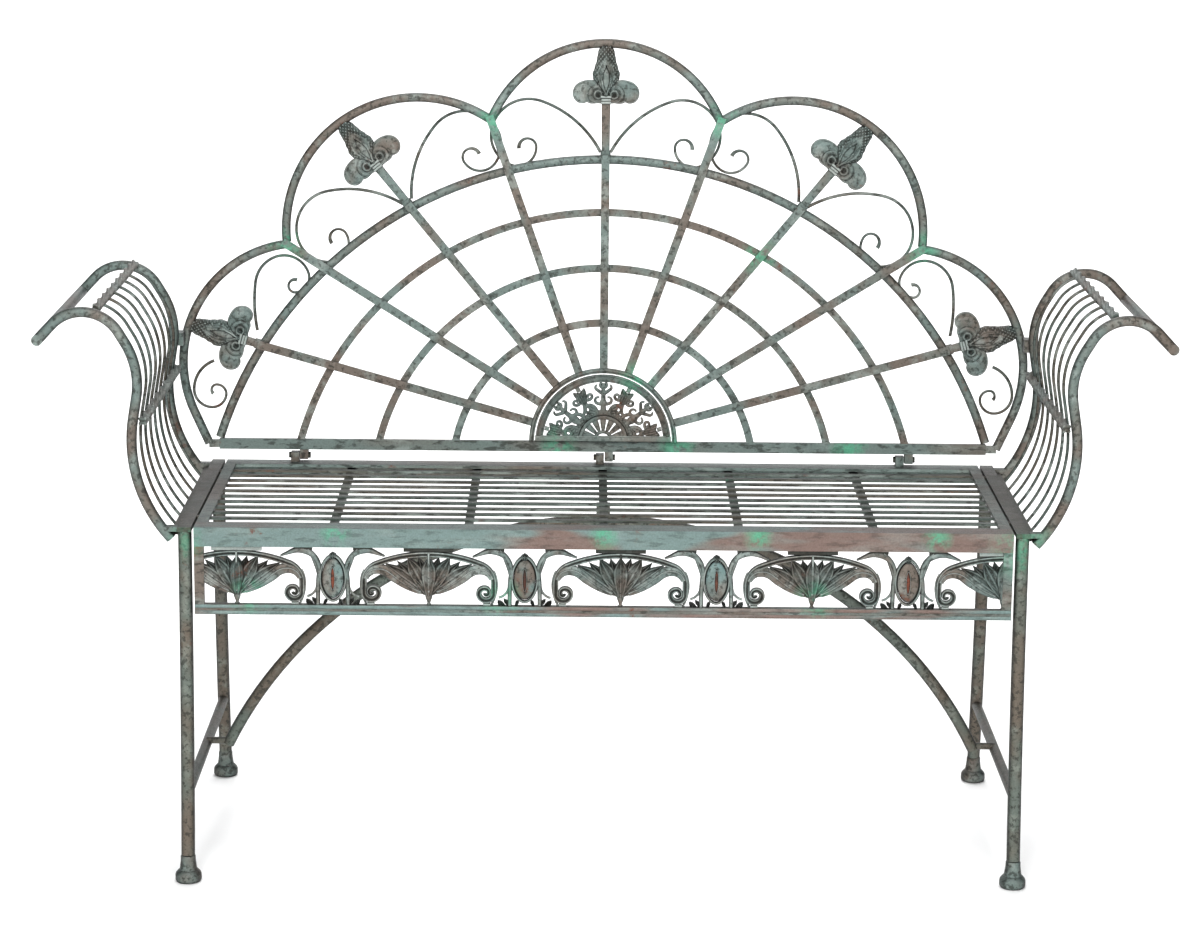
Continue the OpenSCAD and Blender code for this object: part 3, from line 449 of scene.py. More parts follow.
patinaSteel = weatheredMetalWithPaintedShade("patinaSteel", steelLook)
patinaLeg = weatheredMetalWithPaintedShade("patinaLeg", legLook)
patinaBar = weatheredMetalWithPaintedShade("patinaBar", barLook)
patinaRope = weatheredMetalWithPaintedShade("patinaRope", ropeLook)
patinaRail = weatheredMetalWithPaintedShade("patinaRail", railLook)
patinaCast = weatheredMetalWithPaintedShade("patinaCast", castLook)
patinaMedallion = weatheredMetalWithPaintedShade("patinaMedallion", medallionLook)
oliveSteel = weatheredMetalWithPaintedShade("oliveSteel", darkLook)
slatSteel = weatheredMetalWithPaintedShade("slatSteel", slatLook)
bossPatina = weatheredMetalWithPaintedShade("bossPatina", bossLook)
bossRust = weatheredMetalWithPaintedShade("bossRust", rustLook)
print("finishes made")


# frieze: lotus flowers under arched bands, with stems around oval bosses

friezeShape = {
    "pitch": 236.4, "shift": 21,
    "height": 73, "thick": 6,
    "crownRadius": 174, "shoulderRadius": 28, "bandTop": 68, "bandWidth": 7,
    "voluteOut": 71, "voluteRadius": 12.5,
    "petals": [(0, 49, 20, 2.2), (15, 49, 15, -0.6), (29, 54, 19, 1.0), (43, 57, 15, -1.0), (54, 66, 18, 0.2),
               (64, 68, 13, -1.4)],    # lean, length, width and lift
    "bowl": 13.5,
    "bossHalf": (14.5, 26), "bossHeight": 33.5, "slitHalf": (2.7, 14.5),
}


def leafOutline(u):                    # half width of a petal from its foot to its pointed tip
    belly = 0.34 + 0.66 * math.sin(math.pi * min(1, u * 0.80)) ** 0.9
    return belly * (1 - max(0, (u - 0.62) / 0.38) ** 1.7)


def petal(mesh, foot, turn, length, width, rise=3.4, ridges=0.8, lift=0.0, back=-3.0):
    a = math.radians(turn)
    side = Vector((math.cos(a), -math.sin(a)))
    up = Vector((math.sin(a), math.cos(a)))
    rows = []
    for i in range(21):
        u = i / 20
        half = max(0.25, width / 2 * leafOutline(u))
        row = []
        for j in range(25):
            v = j / 12 - 1
            p = Vector(foot) + up * (length * u) + side * (half * v)
            crown = rise * (1 - v ** 4) ** 0.5 * (0.55 + 0.45 * math.sin(math.pi * u ** 0.7))
            rib = ridges * math.cos(math.pi * v * 2.6) * min(1, 6 * (1 - u)) * (0.4 + 0.6 * min(1, 3 * u))
            row.append(mesh.verts.new((p.x, p.y, crown + rib + lift)))
        rows.append(row)
    base = [(mesh.verts.new((r[0].co.x, r[0].co.y, back)), mesh.verts.new((r[-1].co.x, r[-1].co.y, back)))
            for r in rows]
    for now, then, low, high in zip(rows, rows[1:], base, base[1:]):
        for j in range(len(now) - 1):
            mesh.faces.new((now[j], now[j + 1], then[j + 1], then[j]))
        mesh.faces.new((now[0], then[0], high[0], low[0]))
        mesh.faces.new((now[-1], low[1], high[1], then[-1]))
        mesh.faces.new((low[0], high[0], high[1], low[1]))
    mesh.faces.new(rows[0] + [base[0][1], base[0][0]])
    mesh.faces.new(list(reversed(rows[-1])) + [base[-1][0], base[-1][1]])


def mirrored(points, side):
    return [(side * p[0], p[1]) for p in points]


def shifted(points, dx, dy=0):
    return [(p[0] + dx, p[1] + dy) for p in points]


# the section of an arched band: a strong outer rib, a groove and a lower inner rib
bandSection = [(-3.5, -3), (-3.5, 1.6), (-2.9, 2.9), (-1.7, 3.2), (-0.8, 2.2), (-0.2, 0.9), (0.9, 0.9),
               (1.6, 1.9), (2.6, 2.2), (3.4, 1.4), (3.5, -3)]


def bandTaper(u):                      # a band thins out along its curl
    return 1 - 0.62 * max(0, (u - 0.70) / 0.30) ** 1.2, 1 - 0.25 * max(0, (u - 0.8) / 0.2)


def lotus(mesh, x):
    s = friezeShape
    half = s["voluteOut"] + s["voluteRadius"]
    outer = math.degrees(math.asin((half - s["shoulderRadius"]) / (s["crownRadius"] - s["shoulderRadius"])))
    shoulderBend = s["shoulderRadius"] - s["bandWidth"] / 2
    shoulderY = (s["bandTop"] - s["crownRadius"]
                 + (s["crownRadius"] - s["shoulderRadius"]) * math.cos(math.radians(outer)))
    for side in (-1, 1):
        section = bandSection if side > 0 else [(-a, b) for a, b in bandSection]
        runs = [(s["crownRadius"] - s["bandWidth"] / 2, -outer), (shoulderBend, outer - 90),
                (0, shoulderY - s["voluteRadius"] - 3), (9.2, -165), (7.0, -120), (4.8, -110), (2.8, -130)]
        band = bentPath((0, s["bandTop"] - s["bandWidth"] / 2), 0, runs, 2.2)
        sweep(mesh, shifted(mirrored(band, side), x), section, size=bandTaper)
        # a thin rib on the outside of the shoulder
        rib = bentPath((half - 4, 44), -62, [(38, -34), (60, -22)], 2.5)
        sweep(mesh, shifted(mirrored(rib, side), x), roundSection(1.5, 8), -0.6)
        # the outer leaf that ties the flower to its band
        tie = bentPath((10, s["bowl"] + 3), 22, [(120, 16), (0, 12), (22, -50), (16, -62)], 2.5)
        sweep(mesh, shifted(mirrored(tie, side), x), softSection(9, 5, 2.2), -0.4,
              size=lambda u: (0.75 + 0.75 * math.sin(math.pi * min(1, u * 0.9)), 1))
        sweep(mesh, shifted(mirrored(tie, side), x, 0.8), roundSection(0.9, 6), 2.2)
        for turn, length, width, lift in s["petals"][1:]:
            petal(mesh, (x, s["bowl"]), side * turn, length, width, 2.4, 1.3, lift)
        sweep(mesh, shifted([(side * (s["voluteOut"] - 4), 1), (side * (s["voluteOut"] + 5), 1)], x),
              softSection(4, 5, 1.2))
    petal(mesh, (x, s["bowl"] - 0.5), 0, *s["petals"][0][1:3], 3.0, 1.3, s["petals"][0][3])
    sweep(mesh, [(x, s["bowl"] + 4), (x, 67)], roundSection(1.3, 8), 4.2)          # middle rib
    pad = [(x - 31, 70.6), (x + 31, 70.6)]
    sweep(mesh, pad, softSection(6.2, 5, 1.4), -0.2)
    bowl = [(x + 21 * math.cos(a), s["bowl"] + 7 + 8 * math.sin(a))
            for a in (math.pi * (1 + k / 14) for k in range(15))]
    bowl += [(x + 12, s["bowl"] + 13), (x - 12, s["bowl"] + 13)]
    relief(mesh, bowl, (x, s["bowl"] + 6), lambda px, py, t: -1 + 3.2 * math.sqrt(t), 6)
    drop = [(2.6, 0), (3.0, 1.2), (1.9, 2.6), (2.2, 4.0), (3.1, 6.5), (4.2, 9.5), (4.4, 11.5), (3.0, 13),
            (2.6, 15)]
    lathe(mesh, drop, Matrix.Translation((x, 0, -0.4)) @ Matrix.Rotation(math.radians(-90), 4, "X")
          @ Matrix.Scale(0.72, 4, (0, 1, 0)), 16)


def ovalPoints(x, y, halfW, halfH, count=40):          # a little more pointed than an ellipse
    return [(x + halfW * math.cos(a) * (1 - 0.10 * abs(math.sin(a)) ** 3), y + halfH * math.sin(a))
            for a in (2 * math.pi * k / count for k in range(count))]


def stemSwell(u):                      # a stem swells where it bends over and thins out to its tip
    return 1.05 + 0.5 * math.exp(-((u - 0.72) / 0.12) ** 2) - 0.65 * max(0, (u - 0.86) / 0.14), 1


def stems(mesh, x):
    s = friezeShape
    stemX = s["bossHalf"][0] + 3
    stemSection = [(-2.6, -3), (-2.6, 0.6), (-1.4, 2.4), (0, 2.9), (1.4, 2.4), (2.6, 0.6), (2.6, -3)]
    for side in (-1, 1):
        curl = bentPath((stemX + 1.2, 0), 91, [(0, 26), (90, 9), (24.5, -122), (0, 15)], 2.4)
        sweep(mesh, shifted(mirrored(curl, side), x), stemSection, size=stemSwell)
        upper = bentPath((stemX - 0.5, 34), 84, [(60, -14), (0, 14), (30, -20), (0, 16)], 3)
        upper = [p for p in upper if p[1] < s["height"] - 0.4]
        sweep(mesh, shifted(mirrored(upper, side), x), stemSection, -0.4, size=lambda u: (0.85, 0.9))
        sweep(mesh, shifted([(side * 25, 71), (side * 47, 71)], x), softSection(4.2, 4.6, 1.2), -0.2)
        hook = bentPath((stemX + 2.2, 27), -97, [(15.5, 12), (15.5, 74)], 2)
        sweep(mesh, shifted(mirrored(hook, side), x), roundSection(1.6, 8), -0.6)
        for foot, turn, length in ((stemX + 2, 36, 11), (stemX + 7, 55, 11), (stemX + 13, 12, 7),
                                   (stemX - 6, -30, 8)):
            petal(mesh, (x + side * foot, -0.2), side * turn, length, 4.6, 1.8, 1)
    rim = ovalPoints(x, s["bossHeight"], s["bossHalf"][0] + 1.2, s["bossHalf"][1] + 2.6)
    sweep(mesh, rim, [(-1.7, -3), (-1.7, 1.4), (-0.8, 2.6), (0.6, 2.6), (1.7, 1.2), (1.7, -3)], closed=True)
    petal(mesh, (x, s["bossHeight"] + s["bossHalf"][1] - 2), 0, 9, 9, 3.4, 1)


def makeFrieze():
    s = friezeShape
    flowers = bmesh.new()
    for i in range(-2, 3):
        x = s["shift"] + i * s["pitch"]
        lotus(flowers, x)
        if i > -2:
            stems(flowers, x - s["pitch"] / 2)
    # the pattern is cut off at the end posts
    halfLength = (friezeBox[1].x - friezeBox[0].x) / 2 / mm
    for side in (-1, 1):
        geometry = flowers.verts[:] + flowers.edges[:] + flowers.faces[:]
        cut = bmesh.ops.bisect_plane(flowers, geom=geometry, plane_co=(side * halfLength, 0, 0),
                                     plane_no=(side, 0, 0), clear_outer=True)
        edges = [e for e in cut["geom_cut"] if isinstance(e, bmesh.types.BMEdge)]
        bmesh.ops.holes_fill(flowers, edges=edges)
    place = upright(0, friezeBox[1].y - s["thick"] / 2 * mm, friezeBox[0].z)
    makePiece("lotusFrieze", flowers, place, patinaCast, ("apron_frieze",), 38)

    bosses = bmesh.new()
    halfW, halfH = s["bossHalf"]
    slitW, slitH = s["slitHalf"]
    for i in range(-1, 3):
        x = s["shift"] + (i - 0.5) * s["pitch"]
        y = s["bossHeight"]

        def dome(px, py, t):
            inSlit = abs(px - x) / (slitW + 0.2) + (abs(py - y) / (slitH + 0.5)) ** 2 < 1
            return 0.2 + 4.4 * math.sqrt(1 - (1 - t) ** 2) - (2.0 if inSlit else 0)

        relief(bosses, ovalPoints(x, y, halfW - 0.6, halfH - 0.2), (x, y), dome, 16, -2.6)
        slit = [(x + side * slitW * math.cos(a), y + side * slitH * math.sin(a)) for side in (1, -1)
                for a in (math.pi * (k / 12 - 0.5) for k in range(12))]
        relief(bosses, slit, (x, y), lambda px, py, t: 3.0 + 0.9 * t, 4, 0.4, 1)
        sweep(bosses, slit, roundSection(0.55, 6), 4.3, closed=True)
    makePiece("ovalBosses", bosses, place, bossPatina, ("apron_bosses",), 45, bossRust)


def makeMoulding():                    # two raised edges with a groove between them, along the lower bar
    low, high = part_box("apron_frame")
    strips = bmesh.new()
    length = (high.x - low.x) / 2 / mm - 0.5
    edge = [(-0.5, -1), (-0.5, 0.3), (-0.3, 1.0), (0.3, 1.0), (0.5, 0.3), (0.5, -1)]
    for y, width in ((10.4, 4.2), (2.6, 4.4)):
        sweep(strips, [(-length, y), (0, y), (length, y)], [(width * a, b) for a, b in edge])
    makePiece("frameMoulding", strips, upright(0, low.y, low.z), patinaRail, (), 40)


makeFrieze()
makeMoulding()
print("frieze made")


# fleurs on the back's border

fleurShape = {
    "bodyHeight": 62, "stemWidth": 11.5,
    "bud": [(-2, 3), (6, 6.5), (14, 12.5), (22, 17.6), (28, 18.2), (36, 15.6), (46, 12.8), (56, 11.2),
            (64, 8.5)],                # height and half width
    "wing": [(-3, -9), (-11, -10.5), (-20, -11), (-25.5, -9), (-31, -10.8), (-38, -9), (-42.6, -3),
             (-43.4, 4), (-41, 11), (-35, 16.5), (-27, 19.3), (-19, 19.8), (-11, 17), (-3, 8)],
    "eye": (-10.5, 0.5),
}


def fleurHalf(y):                      # half width of the bud above its collar
    stops = fleurShape["bud"]
    for (y0, w0), (y1, w1) in zip(stops, stops[1:]):
        if y <= y1:
            t = (y - y0) / (y1 - y0)
            return w0 + (w1 - w0) * t * t * (3 - 2 * t)
    return stops[-1][1]


def fleurHeight(x, y, v):
    base = 5.2 * math.sqrt(max(0, 1 - v * v)) + 0.6
    inner = 5.2 * math.sin(math.pi * min(1, max(0, y / 40)) ** 1.15)
    outer = 11.0 * math.sin(math.pi * min(1, max(0, y / 50)) ** 1.1)
    ridge = 0
    for reach, top in ((inner, 40), (outer, 50), (outer * 0.52 + 1.2, 44)):
        if 0 < y < top:
            ridge = max(ridge, 1.3 * math.exp(-((abs(x) - reach) / 0.9) ** 2))
    if 0 < y < 40 and abs(x) < inner - 0.8:
        ridge -= 1.3                   # the hollow heart of the bud
    if abs(x) > outer + 0.8 or y > 50:                      # scales
        scales = abs(math.sin((x + y * 0.85) * 0.62)) * abs(math.sin((y * 0.85 - x) * 0.62))
        ridge += 2.4 * scales - 0.9
    return base + ridge


def fleur(mesh, stemLength):
    s = fleurShape
    rows = []
    steps = 74
    for i in range(steps + 1):
        y = -2 + (s["bodyHeight"] + 4) * i / steps
        half = fleurHalf(y)
        rows.append([mesh.verts.new((half * (j / 16 - 1), y, fleurHeight(half * (j / 16 - 1), y, j / 16 - 1)))
                     for j in range(33)])
    base = [(mesh.verts.new((r[0].co.x, r[0].co.y, -4.5)), mesh.verts.new((r[-1].co.x, r[-1].co.y, -4.5)))
            for r in rows]
    for i in range(steps):
        for j in range(32):
            mesh.faces.new((rows[i][j], rows[i][j + 1], rows[i + 1][j + 1], rows[i + 1][j]))
        mesh.faces.new((rows[i][0], rows[i + 1][0], base[i + 1][0], base[i][0]))
        mesh.faces.new((rows[i][-1], base[i][1], base[i + 1][1], rows[i + 1][-1]))
        mesh.faces.new((base[i][0], base[i + 1][0], base[i + 1][1], base[i][1]))
    mesh.faces.new(rows[0] + [base[0][1], base[0][0]])
    mesh.faces.new(list(reversed(rows[-1])) + [base[-1][0], base[-1][1]])
    for side in (-1, 1):
        outline = smoothLoop([(-side * p[0], p[1]) for p in s["wing"]], 5)
        eye = (-side * s["eye"][0], s["eye"][1])

        def roll(px, py, t):
            d = math.hypot(px - eye[0], py - eye[1])
            z = 2.2 * math.sqrt(min(1, 4 * t)) - 0.6
            if d < 13.5:
                z += 1.9 * abs(math.sin(math.pi * d / 7.2)) - (2.6 if d < 3.0 else 0)
            else:
                z += 1.5 * abs(math.sin(math.pi * (d - 13.5) / 13.5)) ** 0.7
            return z

        relief(mesh, outline, (side * 22.0, 4.0), roll, 22, -4.0)
        rim = [(side * 22 + (p[0] - side * 22) * 0.965, 4 + (p[1] - 4) * 0.93) for p in outline]
        sweep(mesh, rim, roundSection(1.5, 8), 0.9, closed=True)
        for radius, thick in ((4.9, 1.5), (10.3, 1.2)):
            sweep(mesh, arcPoints(eye, radius, 0, 345, 28), roundSection(thick, 8), 2.3, closed=True)
    for y, wide in ((-2.5, 13.5), (-6.5, 12.0), (-10.0, 13.0)):          # collar
        sweep(mesh, [(-wide / 2, y), (wide / 2, y)], softSection(3.8, 8.6, 1.5), 0.6)
    cast = set(mesh.faces)
    sweep(mesh, [(0, -8), (0, -10 - stemLength)], softSection(s["stemWidth"], 5, 1.2), -0.5,
          size=lambda u: (1.02 - 0.10 * u, 1))
    sweep(mesh, [(0, -10 - stemLength + 5), (0, -10 - stemLength - 6)], softSection(16, 9, 3.5), 0,
          size=lambda u: (0.85 + 0.3 * math.sin(math.pi * u), 1))
    for f in mesh.faces:
        if f not in cast:
            f.material_index = 1


def makeFleurs():
    s = backShape
    valley = fromHub(s["spokeTurns"][1], s["valley"])
    sideValley = fromHub(s["spokeTurns"][3], s["sideValley"])
    mainRadius = archRadius(s["mainHalf"], s["mainRise"])
    mainCentre = Vector((0, s["mainRise"] - mainRadius))
    topTip = valley.y + s["topRise"] - s["lobeTube"] / 2
    half = (sideValley - valley).length / 2
    shoulderRadius = archRadius(half, s["shoulderRise"])
    along = (sideValley - valley).normalized()
    shoulderCentre = ((valley + sideValley) / 2
                      + (s["shoulderRise"] - shoulderRadius) * Vector((-along.y, along.x)))
    sideX = s["sideOut"] - s["sideRadius"]
    sideCentre = Vector((sideX, sideValley.y - math.sqrt(s["sideRadius"] ** 2 - (sideValley.x - sideX) ** 2)))
    tips = [topTip, rayReach(s["spokeTurns"][2], shoulderCentre, shoulderRadius - s["lobeTube"] / 2),
            rayReach(s["spokeTurns"][4], sideCentre, s["sideRadius"] - s["lobeTube"] / 2)]
    names = ["Middle", "Shoulder", "Side"]
    first = True
    for index, tip in enumerate(tips):
        turn = s["spokeTurns"][index * 2]
        foot = tip - fleurShape["bodyHeight"]
        arch = rayReach(turn, mainCentre, mainRadius + s["mainTube"] / 2)
        for side in ((1,) if index == 0 else (-1, 1)):
            mesh = bmesh.new()
            fleur(mesh, foot - 10 - arch)
            place = (onBack @ Matrix.Rotation(math.radians(-side * turn), 4, "Z")
                     @ Matrix.Translation((0, foot, tubeMid)))
            word = "top" if index == 0 else "left" if side < 0 else "right"
            makePiece(word + names[index] + "Fleur", mesh, place, patinaCast,
                      ("fleurs",) if first else (), 45, patinaSteel)
            first = False


makeFleurs()
print("fleurs made")


# medallion at the hub

medallionShape = {
    "rim": 99, "rimWidth": 7, "ring": 85.4,
    "sunRadius": 31, "sunHeight": 3,
    "crossTurns": [-52, 0, 52], "shieldTurns": [-77, -26, 26, 77], "curlTurns": [-64, -39, -13, 13, 39, 64],
}


def turned(points, turn):              # clockwise about the hub
    a = math.radians(-turn)
    return [(p[0] * math.cos(a) - p[1] * math.sin(a), p[0] * math.sin(a) + p[1] * math.cos(a))
            for p in points]


def medallionSun(mesh):
    radius, y = medallionShape["sunRadius"], medallionShape["sunHeight"]
    sweep(mesh, arcPoints((0, y), radius - 1, 180, 0, 36), softSection(5.5, 5, 1.6), 2.6)
    sweep(mesh, arcPoints((0, y), radius + 5.5, 180, 0, 40), softSection(7.5, 4, 1.4), 2.0)
    sweep(mesh, arcPoints((0, y), 10.5, 180, 0, 20), softSection(4.5, 5, 1.6), 2.8)
    dome = [(4.6 * math.cos(a), y + 4.6 * math.sin(a)) for a in (2 * math.pi * k / 20 for k in range(20))]
    relief(mesh, dome, (0, y), lambda px, py, t: 2.2 + 3.2 * math.sqrt(1 - (1 - t) ** 2), 6, 0)
    for i in range(-3, 4):             # rays between the slots
        turn = i * 24
        ray = [(-1.6, 11), (1.6, 11), (3.9, 29), (-3.9, 29)]
        relief(mesh, shifted(turned(smoothLoop(ray, 5), turn), 0, y), turned([(0, 20)], turn)[0],
               lambda px, py, t: 3.4 + 1.6 * math.sqrt(t), 5, 0)
    for i in range(-7, 8):             # beads around the sun
        spot = Vector((0, y, 0)) + Vector((*turned([(0, radius + 6)], i * 12)[0], 4.6))
        lathe(mesh, [(0.4, -1.9), (1.5, -1.2), (1.9, 0), (1.5, 1.2), (0.4, 1.7)],
              Matrix.Translation(spot), 10)


def medallionCross(mesh, turn):
    bar = softSection(5.6, 4.6, 1.9)
    sweep(mesh, turned([(0, 38), (0, 50), (0, 62), (0, 79)], turn), bar, 2.4,
          size=lambda u: (1.5 - 0.6 * u, 1))
    for reach, half, drop in ((65, 13.5, 5), (73, 6.5, 3)):
        for side in (-1, 1):
            runs = [(drop + 6, side * 24), (0, half - 7), (3.2, side * 130)]
            arm = bentPath((0, reach), 90 - side * 78, runs, 1.6)
            sweep(mesh, turned(arm, turn), bar, 2.4, size=lambda u: (0.95 - 0.5 * u, 1))
    for side in (-1, 1):
        foot = bentPath((0, 52), 90 - side * 118, [(9, side * 60), (4.2, side * 170)], 1.6)
        sweep(mesh, turned(foot, turn), bar, 2.2, size=lambda u: (0.9 - 0.4 * u, 1))
    heart = smoothLoop([(0, 46), (5.2, 52), (0, 60), (-5.2, 52)], 5)
    relief(mesh, turned(heart, turn), turned([(0, 52)], turn)[0],
           lambda px, py, t: 4 + 1.8 * math.sqrt(t), 5, 0)


def medallionShield(mesh, turn):
    shield = smoothLoop([(-8.5, 76), (0, 73), (8.5, 76), (6.6, 63), (2.4, 54.5), (0, 52.5), (-2.4, 54.5),
                         (-6.6, 63)], 5)

    def plate(px, py, t):              # fine ribs along the shield
        across = turned([(px, py)], -turn)[0][0]
        return 3.6 + 1.8 * math.sqrt(t) + 0.7 * math.cos(across * 1.9)

    relief(mesh, turned(shield, turn), turned([(0, 66)], turn)[0], plate, 9, 0)
    sweep(mesh, turned([(0, 74), (0, 80)], turn), softSection(6, 4.4, 1.4), 2.4)
    for side in (-1, 1):
        runs = [(6, side * 75), (3.0, side * 170), (1.8, side * 120)]
        hook = bentPath((side * 5, 60), 90 - side * 125, runs, 1.4)
        sweep(mesh, turned(hook, turn), softSection(4.6, 4.4, 1.7), 2.4, size=lambda u: (1 - 0.35 * u, 1))
        leg = bentPath((side * 1.6, 56), -90 + side * 10, [(30, side * 14), (14, side * 40)], 2)
        sweep(mesh, turned(leg, turn), softSection(4.2, 4.2, 1.6), 2.2)


def medallionCurl(mesh, turn):
    side = 1 if turn > 0 else -1
    runs = [(11, -side * 80), (6, -side * 120), (3.4, -side * 170), (2, -side * 100)]
    curl = bentPath((0, 38), 90 + side * 20, runs, 1.4)
    sweep(mesh, turned(curl, turn), softSection(5.0, 4.4, 1.7), 2.4, size=lambda u: (1.1 - 0.4 * u, 1))
    leaf = bentPath((0, 38), 90 - side * 30, [(8, -side * 60), (3, -side * 150)], 1.4)
    sweep(mesh, turned(leaf, turn), softSection(4.6, 4.2, 1.7), 2.2, size=lambda u: (1.0 - 0.5 * u, 1))


def makeMedallion():
    s = medallionShape
    rim = bmesh.new()
    middle = s["rim"] - s["rimWidth"] / 2
    sweep(rim, arcPoints((0, 0), middle, 180, 0, 72),
          [(-3.5, -3), (-3.5, 2.0), (-2.5, 3.0), (0.4, 3.0), (1.4, 1.4), (3.5, 1.4), (3.5, -3)], 2.6)
    makePiece("medallionRim", rim, onBack, patinaSteel, ("medallion_rim",), 40)

    cast = bmesh.new()
    sweep(cast, arcPoints((0, 0), s["ring"], 178, 2, 72),
          [(-5.1, -2.4), (-5.1, 1.2), (-4.4, 2.2), (-3.0, 2.2), (-2.4, 1.3), (2.6, 1.6), (3.2, 2.4),
           (4.5, 2.2), (5.1, 1.0), (5.1, -2.4)], 2.4)
    sweep(cast, [(-91, 4), (91, 4)], softSection(7.5, 5, 1.6), 2.4)
    sweep(cast, [(-84, 7.2), (84, 7.2)], roundSection(1.3, 8), 4.2)
    medallionSun(cast)
    for turn in s["crossTurns"]:
        medallionCross(cast, turn)
    for turn in s["shieldTurns"]:
        medallionShield(cast, turn)
    for turn in s["curlTurns"]:
        medallionCurl(cast, turn)
    for v in cast.verts:               # nothing hangs below the back's bottom rail
        v.co.y = max(0, v.co.y)
    makePiece("medallionCasting", cast, onBack, patinaMedallion, ("medallion_casting",), 40)


makeMedallion()
print("medallion made")


# arms

armShape = {
    "startOut": 8, "startDrop": 16, "startTurn": 48,
    "belly": (180, 51.5), "waistRise": 27, "waist": (100, -40.5),          # radius and turn of each bend
    "crownRise": 14, "crown": (51, -106), "tail": 25,
    "tube": 13, "rodCount": 7, "rod": 4, "rodInset": 5, "rodStart": 1.7,
    "twistBar": 9, "quarters": 9, "topLean": 27, "middleTurn": 50.5, "topTurn": 43,
}


def armRuns(start, stop, inset):       # the arm's profile from a place on its belly to one on its crown
    s = armShape
    return [(s["belly"][0] - inset, s["belly"][1] - start), (0, s["waistRise"]),
            (s["waist"][0] + inset, s["waist"][1]), (0, s["crownRise"]), (s["crown"][0] + inset, -stop)]


def armSpot(path, heading, step):      # the end of a path, moved sideways towards the sitter
    a = math.radians(heading)
    return (path[-1][0] - step * math.sin(a), path[-1][1] + step * math.cos(a))


def twistedBar(mesh, spot, turn, length):
    s = armShape
    half = s["twistBar"] / 2
    section = []
    for k in range(24):                # four corners with hollow faces between them
        a = 2 * math.pi * k / 24
        r = half * (1.10 - 0.30 * math.cos(4 * a))
        section.append((r * math.cos(a), r * math.sin(a)))
    count = 12 * s["quarters"]
    rows = []
    for k in range(count + 1):
        a = math.radians(turn + 90 * s["quarters"] * k / count)
        z = length * (k / count - 0.5)
        rows.append([mesh.verts.new((spot[0] + p[0] * math.cos(a) - p[1] * math.sin(a),
                                     spot[1] + p[0] * math.sin(a) + p[1] * math.cos(a), z)) for p in section])
    for now, then in zip(rows, rows[1:]):
        for j in range(len(section)):
            mesh.faces.new((now[j], now[(j + 1) % len(section)], then[(j + 1) % len(section)], then[j]))
    mesh.faces.new(list(reversed(rows[0])))
    mesh.faces.new(rows[-1])


def makeArm(word, side):
    s = armShape
    startX = side * (sideOut + s["startOut"] * mm)
    startZ = seatTop - s["startDrop"] * mm
    midY = (armFrontY + armBackY) / 2
    gap = (armBackY - armFrontY) / mm
    for end, y in (("Front", armFrontY), ("Back", armBackY)):
        mesh = bmesh.new()
        runs = armRuns(0, -s["crown"][1], 0) + [(0, s["tail"])]
        sweep(mesh, bentPath((0, 0), s["startTurn"], runs, 3), roundSection(s["tube"] / 2, 20))
        makePiece(word + "Arm" + end + "Tube", mesh, upright(startX, y, startZ, side), patinaSteel,
                  (f"{word}_arm_{end.lower()}_tube",), 60)
    rods = bmesh.new()
    heading = s["startTurn"] + s["rodStart"]
    foot = armSpot(bentPath((0, 0), s["startTurn"], [(s["belly"][0], s["rodStart"])], 1), heading,
                   s["rodInset"])
    reach = math.degrees(s["twistBar"] / 2 / s["crown"][0])
    runs = armRuns(s["rodStart"], s["topTurn"] - reach, s["rodInset"])
    for i in range(1, s["rodCount"] + 1):
        z = gap * (0.5 - i / (s["rodCount"] + 1))
        rod = [(p[0], p[1], z) for p in bentPath(foot, heading, runs, 3)]
        sweep(rods, rod, roundSection(s["rod"] / 2, 10))
    place = upright(startX, midY, startZ, side)
    makePiece(word + "ArmRods", rods, place, slatSteel, (f"{word}_arm_rods",), 60)

    topHeading = s["startTurn"] + s["belly"][1] + s["waist"][1] - s["topTurn"]
    top = armSpot(bentPath((0, 0), s["startTurn"], armRuns(0, s["topTurn"], 0), 1), topHeading, s["rodInset"])
    middle = armSpot(bentPath((0, 0), s["startTurn"], [(s["belly"][0], s["middleTurn"])], 1),
                     s["startTurn"] + s["middleTurn"], s["rodInset"] + s["twistBar"] / 2 + s["rod"] / 2 - 0.5)
    for label, spot, lean in (("Top", top, s["topLean"]), ("Middle", middle, 0)):
        bar = bmesh.new()
        twistedBar(bar, spot, lean, gap - s["tube"] + 1)
        makePiece(word + "Arm" + label + "Bar", bar, place, patinaRope,
                  (f"{word}_arm_{label.lower()}_bar",), 30)


makeArm("left", -1)
makeArm("right", 1)
print("arms made")


# scrolled wires on the back

scrollShape = {
    "wire": 3.5,
    "startX": 6.75, "startY": 9.5, "heading": 62,
    "pair": [(140, -43), (51, -89), (42, -86), (25, -114), (11.5, -190)],
    "upperStart": (462, 145), "upperHeading": 79,
    "upper": [(207, 18), (41, 63), (34, 90), (20, 105), (8.6, 205)],
    "lowerStart": (520, 104), "lowerHeading": -20,
    "lower": [(41, -70), (24, -90), (19, -80), (12.6, -100), (7, -140)],
}


